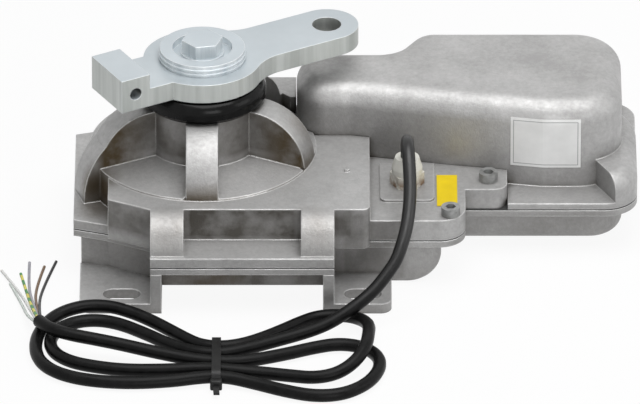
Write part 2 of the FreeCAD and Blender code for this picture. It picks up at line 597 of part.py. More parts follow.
# Pockets between the ribs leave five arms of the dome round the boss, over a floor that rises inwards
def dome_pockets(body):
    sketch = new_sketch(body, "XY_Plane", lift=dim.deck_z, shift_x=dim.axis_x)
    step = as_size(360) / dim.rib_count
    half = dim.rib_width / 2
    low_angle = as_size(-90)
    inner = dim.boss_radius
    outer = dim.rim_radius + dim.pocket_overrun
    near_in = square_root(inner * inner - half * half)
    near_out = square_root(outer * outer - half * half)

    def beside(angle, along, across):
        return (along * cosine(angle) - across * sine(angle), along * sine(angle) + across * cosine(angle))
    high_angle = low_angle + step
    draw_outline(sketch, [beside(low_angle, near_in, half), beside(low_angle, near_out, half) + (outer,),
                          beside(high_angle, near_out, -half),
                          beside(high_angle, near_in, -half) + (-inner,)])
    cut = extrude(body, "Pocket", sketch, dome_top - dim.deck_z, True)
    pattern = body.newObject("PartDesign::PolarPattern", "dome_pocket_pattern")
    pattern.Originals = [cut]
    pattern.Axis = (sketch, ["N_Axis"])
    pattern.Angle = 360
    bind(pattern, "Occurrences", dim.rib_count)
    body.Tip = pattern
    root = dim.boss_radius - dim.rib_root
    low_z = dim.deck_z - dim.floor_rise
    rim_z = dim.deck_z + dim.floor_rise
    revolve(body, "Revolution", [(root, low_z), (dim.rim_radius, low_z), (dim.rim_radius, rim_z),
                                 (root, rim_z + dim.floor_slope)], dim.axis_x)


# Two rounded ribs brace the deck against the front strip
def front_ribs(body):
    drop = dim.deck_z - dim.strip_top
    root = dim.rib_root - deck_front_y
    for side in (-1, 1):
        low = -dim.strip_half if side < 0 else dim.strip_half - dim.front_rib_width
        sketch = new_sketch(body, "YZ_Plane", lift=low)
        draw_outline(sketch, [(-deck_front_y - drop, dim.strip_top), (root, dim.strip_top),
                              (root, dim.deck_z), (-deck_front_y, dim.deck_z, drop)])
        extrude(body, "Pad", sketch, dim.front_rib_width)


# Motor cover: a bottle-shaped shell with its own flange, open below
def cover_outline(inset):
    left = dim.neck_left + inset
    front = dim.neck_front_y + inset
    right = dim.cover_right - inset
    low = dim.cover_front_y + inset
    back = dim.cover_back_y - inset
    neck_back = dim.neck_back_y - inset
    small = dim.neck_corner - inset
    large = dim.cover_corner - inset
    return [(left + small, front), (dim.neck_bend_x, front), (dim.wall_mid_x, dim.wall_mid_y + inset),
            (dim.wall_far_x, low), (right - large, low, large), (right, low + large),
            (right, back - large, large), (right - large, back), (dim.step_x + dim.step_run, back),
            (dim.step_x, neck_back), (left + small, neck_back, small),
            (left, neck_back - small), (left, front + small, small)]


def make_motor_cover():
    body = new_body("motor_cover")
    zero = as_size(0)
    outer = cover_outline(zero)
    pad(body, [outer], upper_z, dim.cover_top)
    round_edges(body, upright_at(outer[1], outer[2], outer[3], outer[8], outer[9]), dim.neck_corner)
    round_edges(body, level_at(dim.cover_top), dim.cover_edge)
    inner = cover_outline(dim.cover_wall)
    roof = dim.cover_top - dim.cover_roof
    flange_left = dim.lug_right + dim.seam
    flange = [(flange_left, lug_seam_y + dim.cover_wall), (flange_left, -dim.flange_front_y),
              (dim.flange_right, -dim.flange_front_y), (dim.flange_right, dim.flange_back_y),
              (dim.step_x, dim.flange_back_y), (dim.step_x, neck_flange_y),
              (dim.strip_half, neck_flange_y), (dim.strip_half, half_depth),
              (dim.neck_left, half_depth), (dim.neck_left, dim.neck_back_y - dim.cover_wall),
              (dim.step_x + dim.cover_corner, dim.neck_back_y - dim.cover_wall)]
    pad(body, [flange], upper_z, upper_z + dim.cover_flange)
    round_edges(body, upright_at((dim.flange_right, -dim.flange_front_y),
                                 (dim.flange_right, dim.flange_back_y)), dim.flange_corner)
    cover_ear(body)
    pocket(body, [inner], upper_z, roof)
    pocket(body, [], upper_z, lay_seat_z, [(layshaft_x, dim.layshaft_y, wheel_room)])
    pocket(body, [], upper_z, upper_z + dim.cover_flange, screw_circles(cover_screws))


# Rounded ear that stiffens the front corner of the cover, within the flange's own corner
def cover_ear(body):
    bend = dim.flange_corner
    corner_x = dim.flange_right - bend
    corner_y = bend - dim.flange_front_y
    start = (corner_x + bend * cosine(dim.ear_angle), corner_y + bend * sine(dim.ear_angle))
    pad(body, [[(dim.cover_right - dim.ear_left, dim.ear_root_y - dim.cover_wall), start + (bend,),
                (dim.flange_right, corner_y), (dim.flange_right, dim.ear_back_y),
                (dim.cover_right - dim.cover_wall, dim.ear_back_y + dim.ear_left)]], upper_z, dim.ear_top)
    start_x = start[0].value - near_enough
    outer_x = dim.cover_right.value
    front_y = dim.cover_front_y.value

    def outside(point):
        return point.x > start_x and (point.x > outer_x or point.y < front_y)
    round_edges(body, level_at(dim.ear_top, outside), dim.ear_edge)


# Thin gasket over the whole parting face
def make_gasket():
    body = new_body("parting_gasket")
    pad(body, [parting_outline()], dim.parting_z, upper_z)
    pocket(body, [], dim.parting_z, upper_z, [(dim.axis_x, 0, gear_cavity)])
    pocket(body, [], dim.parting_z, upper_z, [(layshaft_x, dim.layshaft_y, wheel_room)])
    pocket(body, [neck_room(dim.neck_left + dim.cover_wall, dim.step_x + 3 * dim.tray_inset)],
           dim.parting_z, upper_z)
    pocket(body, [motor_room()], dim.parting_z, upper_z)
    pocket(body, [], dim.parting_z, upper_z, screw_circles(all_screws))
    round_edges(body, upright_at((dim.flange_right, -dim.flange_front_y),
                                 (dim.flange_right, dim.flange_back_y)), dim.flange_corner)
    round_edges(body, upright_at((dim.ledge_right, -dim.ledge_front_y)), dim.ledge_corner)


# A piece that Part's own functions make, at a place bound to nothing else
def keep_shape(name, shape):
    piece = doc.addObject("Part::Feature", name)
    piece.Label = name
    piece.Shape = shape
    pieces.append(piece)
    return piece


# Half the angle that an involute tooth covers at a radius
def tooth_half_angle(radius, pitch_radius, half_at_pitch):
    pressure = math.radians(dim.pressure_angle.value)
    base = pitch_radius * math.cos(pressure)
    local = math.acos(min(base / radius, 1))
    return half_at_pitch + (math.tan(pressure) - pressure) - (math.tan(local) - local)


# Closed outline of a toothed wheel, with a tooth centred on the phase angle
def gear_face(teeth, module, share, phase, height):
    pitch_radius = module * teeth / 2
    half_at_pitch = 2 * math.pi / teeth * share / 2
    root = module * dim.tooth_root.value
    tip = module * dim.tooth_tip.value
    radii = [pitch_radius - root, pitch_radius - root / 2, pitch_radius, pitch_radius + tip]
    base = pitch_radius * math.cos(math.radians(dim.pressure_angle.value))
    points = []
    for tooth in range(teeth):
        centre = phase + 2 * math.pi * tooth / teeth
        flank = [(radius, tooth_half_angle(max(radius, base), pitch_radius, half_at_pitch))
                 for radius in radii]
        for radius, half in flank:
            points.append(Vector(radius * math.cos(centre - half), radius * math.sin(centre - half), height))
        for radius, half in reversed(flank):
            points.append(Vector(radius * math.cos(centre + half), radius * math.sin(centre + half), height))
    return Part.makePolygon(points + points[:1])


def spur_gear(name, teeth, phase, x, y, low, high, bore):
    module = dim.gear_module.value
    wire = gear_face(round(teeth.value), module, dim.tooth_share.value, phase, low)
    blank = Part.Face(wire).extrude(Vector(0, 0, high - low))
    hole = Part.makeCylinder(bore, high - low, Vector(0, 0, low))
    piece = keep_shape(name, blank.cut(hole))
    piece.Placement = FreeCAD.Placement(Vector(x, y, 0), FreeCAD.Rotation())
    return piece


# Output train: shaft, spur gear, bearings and seal
def make_output_train():
    shaft = new_body("output_shaft")
    foot = floor_z + dim.end_play
    seat = floor_z + dim.lower_bearing_thick + dim.end_play
    neck = upper_seat_z - dim.end_play
    square_low = lever_z - dim.end_play
    collar_top = gear_high + dim.collar_height
    revolve(shaft, "Revolution", [
        (0, foot), (dim.shaft_radius, foot), (dim.shaft_radius, seat), (dim.gear_seat, seat),
        (dim.gear_seat, gear_high), (dim.shaft_collar, gear_high), (dim.shaft_collar, collar_top),
        (dim.shaft_body, collar_top), (dim.shaft_body, neck), (dim.shaft_radius, neck),
        (dim.shaft_radius, lever_z), (0, lever_z)])
    half = dim.square_side / 2
    pad(shaft, [rectangle(-half, half, -half, half)], square_low, lever_top - dim.end_play)
    pocket(shaft, [], recess_z - dim.bolt_length, lever_top, [(0, 0, dim.bolt_radius + dim.square_play)])
    place(shaft, dim.axis_x, 0, 0, turn=dim.lever_angle)
    spread = math.atan2(dim.layshaft_y.value, layshaft_x.value - dim.axis_x.value)
    gap_phase = spread + math.pi / dim.gear_teeth.value
    spur_gear("output_gear", dim.gear_teeth, gap_phase, dim.axis_x.value, 0,
              gear_low.value, gear_high.value, dim.gear_seat.value)
    bore = dim.shaft_radius + dim.running_fit
    turned("lower_output_bearing",
           bearing_profile(bore, dim.bearing_radius, floor_z, dim.lower_bearing_thick), dim.axis_x, 0)
    turned("upper_output_bearing",
           bearing_profile(bore, dim.bearing_radius, upper_seat_z, dim.upper_bearing_thick), dim.axis_x, 0)
    soft = dim.seal_height / 2
    rim = dim.seal_radius
    turned("output_seal", [(bore, dome_top), (rim - soft / 2, dome_top), (rim, dome_top + soft / 2),
                           (rim, seal_top - soft, soft), (rim - soft, seal_top), (bore, seal_top)],
           dim.axis_x, 0)
    return spread


# Lever: hub, tapering arm with an eye, and the stop block on the other side
def make_lever():
    body = new_body("lever_arm")
    top = lever_top
    pad(body, [], lever_z, top, [(0, 0, dim.lever_hub)])
    pad(body, [rectangle(0, dim.lever_reach, -dim.lever_tip, dim.lever_tip)], lever_z, top)
    pad(body, [], lever_z, top, [(dim.lever_reach, 0, dim.lever_tip)])
    join_x = square_root(dim.lever_hub * dim.lever_hub - dim.lever_tip * dim.lever_tip)
    round_edges(body, upright_at((join_x, -dim.lever_tip), (join_x, dim.lever_tip)), dim.lever_fillet)
    half = dim.block_wide / 2
    near = dim.block_long / 2
    pad(body, [rectangle(-dim.block_reach, 0, -half, half)], lever_z, top)
    block = rectangle(-dim.block_reach - near, near - dim.block_reach, -half, half)
    pad(body, [block], lever_z, lever_z + dim.block_height)
    side = dim.square_side / 2 + dim.square_play
    pocket(body, [rectangle(-side, side, -side, side)], lever_z, top)
    pocket(body, [], lever_z, top, [(dim.lever_reach, 0, dim.lever_hole)])
    bore = new_sketch(body, "XZ_Plane", lift=-half)
    draw_circle(bore, -dim.block_reach, lever_z + dim.block_height / 2, dim.block_hole)
    extrude(body, "Pocket", bore, dim.block_wide, True)
    place(body, dim.axis_x, 0, 0, turn=dim.lever_angle)
    disc_top = top + dim.disc_thick
    free = dim.bolt_radius + dim.square_play
    head = recess_z + dim.washer_thick
    turned("clamp_disc", [(free, top), (dim.disc_radius, top), (dim.disc_radius, disc_top),
                          (dim.disc_recess, disc_top), (dim.disc_recess, recess_z), (free, recess_z)],
           dim.axis_x, 0)
    turned("bolt_washer", ring_profile(free, dim.washer_radius, recess_z, head), dim.axis_x, 0)
    bolt = new_body("lever_bolt")
    pad(bolt, [], recess_z - dim.bolt_length + dim.bolt_end_gap, head, [(0, 0, dim.bolt_radius)])
    pad(bolt, [hexagon(dim.bolt_flats)], head, head + dim.bolt_head)
    place(bolt, dim.axis_x, 0, 0, turn=dim.bolt_turn)


# Intermediate shaft: pinion below, worm wheel above
def make_layshaft(spread):
    x, y = layshaft_x, dim.layshaft_y
    foot = floor_z + dim.end_play
    pinion_low = gear_low - dim.gear_gap / 2
    pinion_high = gear_high + dim.gear_gap / 2
    top = lay_seat_z + dim.lay_bush_thick - dim.end_play
    turned("layshaft", [(0, foot), (dim.layshaft_radius, foot), (dim.layshaft_radius, pinion_high),
                        (dim.lay_collar, pinion_high), (dim.lay_collar, wheel_low),
                        (dim.layshaft_radius, wheel_low), (dim.layshaft_radius, wheel_high),
                        (dim.lay_top_radius, wheel_high),
                        (dim.lay_top_radius, top), (0, top)], x, y)
    spur_gear("layshaft_pinion", dim.pinion_teeth, spread + math.pi, x.value, y.value,
              pinion_low.value, pinion_high.value, dim.layshaft_radius.value)
    lay_bore = dim.layshaft_radius + dim.running_fit
    turned("layshaft_bearing",
           bearing_profile(lay_bore, dim.lay_bearing_radius, floor_z, dim.lay_bearing_thick), x, y)
    bush_bore = dim.lay_top_radius + dim.running_fit
    bush_top = lay_seat_z + dim.lay_bush_thick
    turned("layshaft_bush",
           ring_profile(bush_bore, dim.lay_bush_radius, lay_seat_z, bush_top), x, y)
    teeth = round(dim.wheel_teeth.value)
    module = dim.wheel_module.value
    lean = module / 2 / dim.worm_pitch_radius.value * dim.wheel_thick.value / 2 / wheel_radius.value
    phase = math.pi / 2 + math.pi / teeth
    rims = [gear_face(teeth, module, dim.worm_share.value, phase + turn, height)
            for turn, height in ((-lean, wheel_low.value), (lean, wheel_high.value))]
    blank = Part.makeLoft(rims, True, True)
    bottom = Vector(0, 0, wheel_low.value)
    hole = Part.makeCylinder(dim.layshaft_radius.value, dim.wheel_thick.value, bottom)
    wheel = keep_shape("worm_wheel", blank.cut(hole))
    wheel.Placement = FreeCAD.Placement(Vector(x.value, y.value, 0), FreeCAD.Rotation())


# Motor: rotor pieces on one shaft along X, then the still pieces round them
def make_motor():
    y, z = motor_y, dim.motor_z

    def on_shaft(name, profile):
        return turned(name, profile, 0, y, z, along_x=True)
    shaft = dim.motor_shaft
    worm_left = layshaft_x - dim.worm_length / 2
    worm_right = worm_left + dim.worm_length
    encoder_x = can_right + dim.bell_thick + 2 * dim.board_thick
    shaft_end = encoder_x + 2 * dim.encoder_thick
    on_shaft("motor_shaft", ring_profile(0, shaft, worm_left, shaft_end))
    make_worm(worm_left)
    rotor_right = dim.rotor_left + dim.rotor_length
    on_shaft("rotor_core", ring_profile(shaft, dim.rotor_radius, dim.rotor_left, rotor_right))
    winding_left = dim.rotor_left - dim.winding_length
    for name, start in (("front_winding", winding_left), ("rear_winding", rotor_right)):
        on_shaft(name, ring_profile(shaft, dim.winding_radius, start, start + dim.winding_length))
    comm_left = rotor_right + dim.winding_length
    comm_right = comm_left + dim.commutator_length
    on_shaft("commutator", ring_profile(shaft, dim.commutator_radius, comm_left, comm_right))
    encoder_right = encoder_x + dim.encoder_thick
    on_shaft("encoder_disc", ring_profile(shaft, dim.encoder_radius, encoder_x, encoder_right))
    inner = dim.can_radius - dim.can_wall
    on_shaft("motor_can", ring_profile(inner, dim.can_radius, dim.can_left, can_right))
    hole = dim.motor_bearing
    free = shaft + dim.shaft_clear
    nose = dim.nose_left
    bell_left = dim.can_left - dim.bell_thick
    on_shaft("front_bell", [(hole, nose), (dim.nose_radius, nose), (dim.nose_radius, bell_left),
                            (dim.can_radius, bell_left), (dim.can_radius, dim.can_left),
                            (free, dim.can_left), (free, nose + dim.motor_bearing_thick),
                            (hole, nose + dim.motor_bearing_thick)])
    deep = can_right - dim.can_wall
    on_shaft("rear_bell", [(hole, deep), (inner, deep), (inner, can_right), (dim.can_radius, can_right),
                           (dim.can_radius, can_right + dim.bell_thick), (free, can_right + dim.bell_thick),
                           (free, deep + dim.motor_bearing_thick), (hole, deep + dim.motor_bearing_thick)])
    bore = shaft + dim.running_fit
    on_shaft("front_motor_bearing", bearing_profile(bore, hole, nose, dim.motor_bearing_thick))
    on_shaft("rear_motor_bearing", bearing_profile(bore, hole, deep, dim.motor_bearing_thick))
    back = can_right + dim.bell_thick
    on_shaft("encoder_board", ring_profile(free, dim.board_radius, back, back + dim.board_thick))
    on_shaft("brush_holder", ring_profile(dim.holder_radius, inner, comm_left, comm_right))
    for name, side in (("front_brush", -1), ("rear_brush", 1)):
        brush = new_body(name)
        half = dim.brush_side / 2
        near = side * (dim.commutator_radius + dim.end_play)
        far = side * (dim.holder_radius - dim.end_play)
        low, high = (far, near) if side < 0 else (near, far)
        middle = (comm_left + comm_right) / 2
        pad(brush, [rectangle(middle - half, middle + half, y + low, y + high)], z - half, z + half)
    magnet_in = dim.rotor_radius + dim.magnet_gap
    for name, side in (("lower_magnet", 0), ("upper_magnet", 180)):
        magnet = new_body(name)
        angles = [side - dim.magnet_half_angle, as_size(side), side + dim.magnet_half_angle]
        ends = [(cosine(angle), sine(angle)) for angle in angles]
        corners = [(inner * ends[0][0], inner * ends[0][1], inner),
                   (inner * ends[1][0], inner * ends[1][1], inner),
                   (inner * ends[2][0], inner * ends[2][1]),
                   (magnet_in * ends[2][0], magnet_in * ends[2][1], -magnet_in),
                   (magnet_in * ends[1][0], magnet_in * ends[1][1], -magnet_in),
                   (magnet_in * ends[0][0], magnet_in * ends[0][1])]
        pad(magnet, [corners], dim.rotor_left, rotor_right)
        place(magnet, 0, y, z, Vector(0, 1, 0), 90)


# One-start worm whose thread is centred on the wheel at rest
def make_worm(worm_left):
    body = new_body("worm")
    lead = math.pi * dim.wheel_module
    root_depth = dim.tooth_root * dim.wheel_module
    tip_height = dim.tooth_tip * dim.wheel_module
    root = dim.worm_pitch_radius - root_depth
    crest = dim.worm_pitch_radius + tip_height
    revolve(body, "Revolution", ring_profile(dim.motor_shaft, root, 0, dim.worm_length))
    start = dim.worm_length / 2 - dim.worm_half_turns * lead
    flank = sine(dim.pressure_angle) / cosine(dim.pressure_angle)
    foot_half = lead * dim.worm_share / 2 + root_depth * flank
    tip_half = lead * dim.worm_share / 2 - tip_height * flank
    sketch = new_sketch(body, "XZ_Plane")
    sunk = root - dim.thread_sunk
    draw_outline(sketch, [(sunk, start - foot_half), (crest, start - tip_half), (crest, start + tip_half),
                          (sunk, start + foot_half)])
    thread = body.newObject("PartDesign::AdditiveHelix", "worm_thread")
    thread.Profile = sketch
    thread.ReferenceAxis = (sketch, ["V_Axis"])
    thread.Mode = "pitch-height-angle"
    bind(thread, "Pitch", lead)
    bind(thread, "Height", dim.worm_length - 2 * start)
    place(body, worm_left, motor_y, dim.motor_z, Vector(0, 1, 0), 90)


# Socket-head screws through the flanges, one group of separate solids
def make_screws():
    solids = []
    for number, (x, y, top) in enumerate(all_screws, start=1):
        shank = doc.addObject("Part::Cylinder", f"screw_shank_{number}")
        bind(shank, "Radius", dim.screw_radius)
        bind(shank, "Height", top - lower_flange_z)
        bind(shank, "Placement.Base.z", lower_flange_z)
        head = doc.addObject("Part::Cylinder", f"screw_head_{number}")
        bind(head, "Radius", dim.screw_head)
        bind(head, "Height", dim.screw_head_height)
        bind(head, "Placement.Base.z", top)
        socket = doc.addObject("Part::Prism", f"screw_socket_{number}")
        socket.Polygon = 6
        bind(socket, "Circumradius", dim.socket_radius)
        bind(socket, "Height", dim.screw_head_height)
        bind(socket, "Placement.Base.z", top + dim.screw_head_height / 2)
        whole = doc.addObject("Part::Fuse", f"screw_blank_{number}")
        whole.Base = shank
        whole.Tool = head
        for part in (shank, head, socket):
            bind(part, "Placement.Base.x", x)
            bind(part, "Placement.Base.y", y)
        cut = doc.addObject("Part::Cut", f"screw_{number}")
        cut.Base = whole
        cut.Tool = socket
        solids.append(cut)
    group = doc.addObject("Part::Compound", "flange_screws")
    group.Label = "flange_screws"
    group.Links = solids
    pieces.append(group)


# Cable gland on its pad, and the cable: a lead, then a tied hank on the floor
def make_cable():
    pad_top = dim.ledge_top + dim.gland_pad_rise
    cap = pad_top + dim.gland_hex_height
    gland_top = cap + dim.gland_cap_height
    gland = new_body("gland_body")
    pad(gland, [hexagon(dim.gland_flats)], pad_top, cap)
    place(gland, dim.gland_x, dim.gland_y)
    turned("gland_nut", [(0, cap), (dim.gland_cap_radius, cap), (dim.gland_cap_radius, cap + dim.gland_lip),
                         (dim.gland_top_radius, gland_top), (0, gland_top)], dim.gland_x, dim.gland_y)
    gland_x, gland_y = dim.gland_x.value, dim.gland_y.value
    start = Vector(gland_x, gland_y, gland_top.value)
    route = [start, start + Vector(0, 0, dim.cable_rise.value)]
    route += [Vector(gland_x + x, gland_y + y, z) for x, y, z in lead_points]
    hank = new_body("cable_hank")
    waist_front = -half_depth - dim.waist_front
    waist_back = -half_depth - dim.waist_back
    outline = [(dim.tie_x, waist_front)]
    outline += [(dim.tie_x + x, -half_depth - y) for x, y in hank_right]
    outline += [(dim.tie_x, waist_back)]
    outline += [(dim.tie_x + x, -half_depth - y) for x, y in hank_left]
    pad(hank, [outline], dim.hank_bottom, dim.hank_bottom + dim.hank_height)
    doc.recompute()
    lead = tube(route, dim.cable_diameter.value / 2).cut(hank.Shape)
    keep_shape("cable_lead", max(lead.Solids, key=lambda solid: solid.Volume))
    half = dim.tie_width / 2
    thick = dim.tie_thick
    tie = new_body("cable_tie")
    low, high = dim.hank_bottom - thick, dim.hank_bottom + dim.hank_height + thick
    band = new_sketch(tie, "YZ_Plane", lift=dim.tie_x - half)
    play = dim.tie_play
    draw_outline(band, rectangle(waist_front - thick - play, waist_back + thick + play, low, high))
    draw_outline(band, rectangle(waist_front - play, waist_back + play, low + thick, high - thick))
    extrude(tie, "Pad", band, dim.tie_width)


# Round tube along straight runs joined by arcs that take an equal share of each run
def tube(route, radius):
    bend_share = 0.45
    edges = []
    position = route[0]
    radii = []
    for before, corner, after in zip(route, route[1:], route[2:]):
        back, ahead = before - corner, after - corner
        turn = math.pi - back.getAngle(ahead)
        reach = bend_share * min(back.Length, ahead.Length)
        radii.append(round(reach / math.tan(turn / 2), 1))
        first = corner + back.normalize() * reach
        last = corner + ahead.normalize() * reach
        bend = radii[-1]
        towards = (back + ahead).normalize()
        middle = corner + towards * (math.hypot(bend, reach) - bend)
        edges.append(Part.LineSegment(position, first).toShape())
        edges.append(Part.Arc(first, middle, last).toShape())
        position = last
    edges.append(Part.LineSegment(position, route[-1]).toShape())
    path = Part.Wire(edges)
    section = Part.Wire(Part.makeCircle(radius, route[0], route[1] - route[0]))
    solid = path.makePipeShell([section], True, False)
    share = solid.Volume / (math.pi * radius ** 2 * path.Length)
    print("cable bend radii", radii, "volume share", round(share, 4))
    return solid


make_lower_housing()
make_lower_flange()
make_feet()
make_upper_housing()
make_motor_cover()
make_gasket()
mesh_angle = make_output_train()
make_lever()
make_layshaft(mesh_angle)
make_motor()
make_screws()
make_cable()
doc.recompute()

failed = [thing.Name for thing in doc.Objects if "Invalid" in thing.State or "Error" in thing.State]
broken = [piece.Label for piece in pieces if piece.Shape.isNull() or not piece.Shape.isValid()]
if failed or broken:
    raise RuntimeError(f"failed features {failed}, broken shapes {broken}")
for piece in pieces:
    piece.Shape.exportStep(f"parts/{piece.Label}.step")
print(len(pieces), "pieces written")
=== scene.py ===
import json
import math

import bpy
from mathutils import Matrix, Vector


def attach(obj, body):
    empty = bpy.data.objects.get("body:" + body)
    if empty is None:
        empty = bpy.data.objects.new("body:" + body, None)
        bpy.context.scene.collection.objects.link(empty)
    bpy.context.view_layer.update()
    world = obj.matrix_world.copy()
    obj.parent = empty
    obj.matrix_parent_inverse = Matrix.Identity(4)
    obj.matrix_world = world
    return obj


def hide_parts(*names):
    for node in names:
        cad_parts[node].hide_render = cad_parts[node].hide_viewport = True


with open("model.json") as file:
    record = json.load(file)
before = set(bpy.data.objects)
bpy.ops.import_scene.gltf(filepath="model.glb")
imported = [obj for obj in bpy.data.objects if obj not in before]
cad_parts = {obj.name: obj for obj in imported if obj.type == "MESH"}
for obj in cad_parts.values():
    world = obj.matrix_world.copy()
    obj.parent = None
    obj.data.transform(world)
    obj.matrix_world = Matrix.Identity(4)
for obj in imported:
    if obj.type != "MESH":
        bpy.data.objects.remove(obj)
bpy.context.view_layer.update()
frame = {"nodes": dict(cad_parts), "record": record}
nodes = frame["nodes"]
print("frame loaded,", len(nodes), "nodes")


# materials: small helpers, then one function for each finish

def newMaterial(name):
    material = bpy.data.materials.new(name)
    material.use_nodes = True
    tree = material.node_tree
    return material, tree, tree.nodes["Principled BSDF"]


def objectCoords(tree):
    return tree.nodes.new("ShaderNodeTexCoord").outputs["Object"]


def noise(tree, coords, scale, detail=3.0, roughness=0.55):
    node = tree.nodes.new("ShaderNodeTexNoise")
    tree.links.new(coords, node.inputs["Vector"])
    node.inputs["Scale"].default_value = scale
    node.inputs["Detail"].default_value = detail
    node.inputs["Roughness"].default_value = roughness
    return node.outputs["Fac"]


def ramp(tree, factor, *stops):
    node = tree.nodes.new("ShaderNodeValToRGB")
    tree.links.new(factor, node.inputs["Fac"])
    elements = node.color_ramp.elements
    while len(elements) < len(stops):
        elements.new(0.5)
    for element, (place, colour) in zip(elements, stops):
        element.position = place
        element.color = (*colour, 1.0)
    return node.outputs["Color"]


def spread(tree, factor, low, high, outLow, outHigh):
    node = tree.nodes.new("ShaderNodeMapRange")
    tree.links.new(factor, node.inputs["Value"])
    for name, number in (("From Min", low), ("From Max", high), ("To Min", outLow), ("To Max", outHigh)):
        node.inputs[name].default_value = number
    return node.outputs["Result"]


def calc(tree, operation, *values):
    node = tree.nodes.new("ShaderNodeMath")
    node.operation = operation
    for socket, value in zip(node.inputs, values):
        if isinstance(value, float):
            socket.default_value = value
        else:
            tree.links.new(value, socket)
    return node.outputs[0]


def multiply(tree, first, second):
    return calc(tree, "MULTIPLY", first, second)


def seenRays(tree):  # 1 for what the camera sees, also in metal and glass
    rays = tree.nodes.new("ShaderNodeLightPath")
    mirrored = calc(tree, "MAXIMUM", rays.outputs["Is Glossy Ray"], rays.outputs["Is Transmission Ray"])
    return calc(tree, "MAXIMUM", rays.outputs["Is Camera Ray"], mirrored)


def mixColour(tree, factor, first, second):
    node = tree.nodes.new("ShaderNodeMix")
    node.data_type = "RGBA"
    tree.links.new(factor, node.inputs["Factor"])
    for socket, value in ((node.inputs["A"], first), (node.inputs["B"], second)):
        if isinstance(value, tuple):
            socket.default_value = (*value, 1.0)
        else:
            tree.links.new(value, socket)
    return node.outputs["Result"]


def softEdges(tree, radius, samples=6):  # normal that rounds every edge by a radius
    bevel = tree.nodes.new("ShaderNodeBevel")
    bevel.samples = samples
    bevel.inputs["Radius"].default_value = radius
    return bevel.outputs["Normal"]


def edgeMask(tree, bevelNormal, low, high):  # 1 where an edge is near, 0 on flat faces
    geometry = tree.nodes.new("ShaderNodeNewGeometry")
    dot = tree.nodes.new("ShaderNodeVectorMath")
    dot.operation = "DOT_PRODUCT"
    tree.links.new(bevelNormal, dot.inputs[0])
    tree.links.new(geometry.outputs["Normal"], dot.inputs[1])
    return spread(tree, dot.outputs["Value"], high, low, 0.0, 1.0)


hollowSamples = 8


def hollowMask(tree, distance, low, high):  # 1 deep in a corner, 0 in the open
    occlusion = tree.nodes.new("ShaderNodeAmbientOcclusion")
    occlusion.samples = hollowSamples
    occlusion.inputs["Distance"].default_value = distance
    return spread(tree, occlusion.outputs["AO"], low, high, 1.0, 0.0)


def bump(tree, shader, height, strength, distance, normal=None):
    node = tree.nodes.new("ShaderNodeBump")
    node.inputs["Strength"].default_value = strength
    node.inputs["Distance"].default_value = distance
    tree.links.new(height, node.inputs["Height"])
    if normal is not None:
        tree.links.new(normal, node.inputs["Normal"])
    tree.links.new(node.outputs["Normal"], shader.inputs["Normal"])


def facingUp(tree, low, high, normal=None):  # 0 on upright walls, 1 on level faces
    if normal is None:
        normal = tree.nodes.new("ShaderNodeNewGeometry").outputs["Normal"]
    facing = tree.nodes.new("ShaderNodeSeparateXYZ")
    tree.links.new(normal, facing.inputs["Vector"])
    return spread(tree, facing.outputs["Z"], low, high, 0.0, 1.0)


def farFrom(tree, coords, centre, scale=(1.0, 1.0, 1.0)):  # distance from a point, in metres
    shifted = tree.nodes.new("ShaderNodeMapping")
    shifted.inputs["Location"].default_value = tuple(-c * s for c, s in zip(centre, scale))
    shifted.inputs["Scale"].default_value = scale
    tree.links.new(coords, shifted.inputs["Vector"])
    length = tree.nodes.new("ShaderNodeVectorMath")
    length.operation = "LENGTH"
    tree.links.new(shifted.outputs["Vector"], length.inputs[0])
    return length.outputs["Value"]


# of these colours, the dark grey for walls is painted shade, the brown-black for corners is painted shade
# patchy like dirt, the brown also paints three shade spots, and the pale edge colour is wear with a painted
# highlight
castSkin = {"dark": (0.33, 0.326, 0.322), "light": (0.46, 0.456, 0.452), "wearAndHighlight": (0.80, 0.80, 0.79),
            "dirtAndShade": (0.06, 0.05, 0.038), "paintedShade": (0.075, 0.069, 0.06), "greaseAndShade": (0.06, 0.04, 0.016),
            "metallic": 0.45, "roughness": (0.55, 0.39), "edge": 0.0013}
# each noise: scale, detail and, where it is not the usual one, roughness
castNoise = {"cloud": (30.0, 6.0, 0.66), "speckle": (420.0, 4.0, 0.7), "blotch": (60.0, 4.0),
             "grain": (950.0, 3.0, 0.6)}
castShares = {"cloud": 0.62, "speckle": 0.38, "sheltered": 0.55}
castBump = {"strength": 0.3, "depth": 0.0006}
# each band: what goes in, from and to, and for a mark also what comes out
castBands = {"tone": (0.38, 0.62), "sheen": (0.36, 0.64), "edge": (0.80, 0.985), "crease": (0.2, 0.5),
             "paintedShade": (0.34, 0.64, 0.45, 0.95), "dirtAndShade": (0.36, 0.62, 0.1, 0.85),
             "wearAndHighlight": (0.36, 0.60, 0.3, 0.95), "greaseAndShade": (0.30, 0.55, 0.35, 1.0)}
# each hollow: reach in metres, then the occlusion at which its mark is full and at which it ends
castHollows = {"sheltered": (0.05, 0.40, 0.84), "corner": (0.006, 0.25, 0.72), "inner": (0.004, 0.62, 0.86)}
uprightWall = (0.5, 0.1)
# each spot: centre, outer radius, inner radius, strength; the third is a painted shadow in a dark gap, and
# the last two are painted shade that dims the highlight on the front rib rounds
greaseAndShadeMarks = {"dome": (-0.0214, 0.0, 0.0), "inner": (0.034, 0.050), "outer": (0.066, 0.058),
               "front": (0.004, -0.012), "least": 0.12, "wall": (0.35, 0.1),
               "spots": (((0.040, -0.008, 0.079), 0.024, 0.006, 0.8),
                         ((0.113, -0.022, 0.064), 0.017, 0.004, 0.35),
                         ((-0.077, -0.034, 0.043), 0.018, 0.006, 0.95),
                         ((-0.0385, -0.080, 0.046), 0.018, 0.004, 0.36),
                         ((0.0375, -0.080, 0.046), 0.018, 0.004, 0.36))}
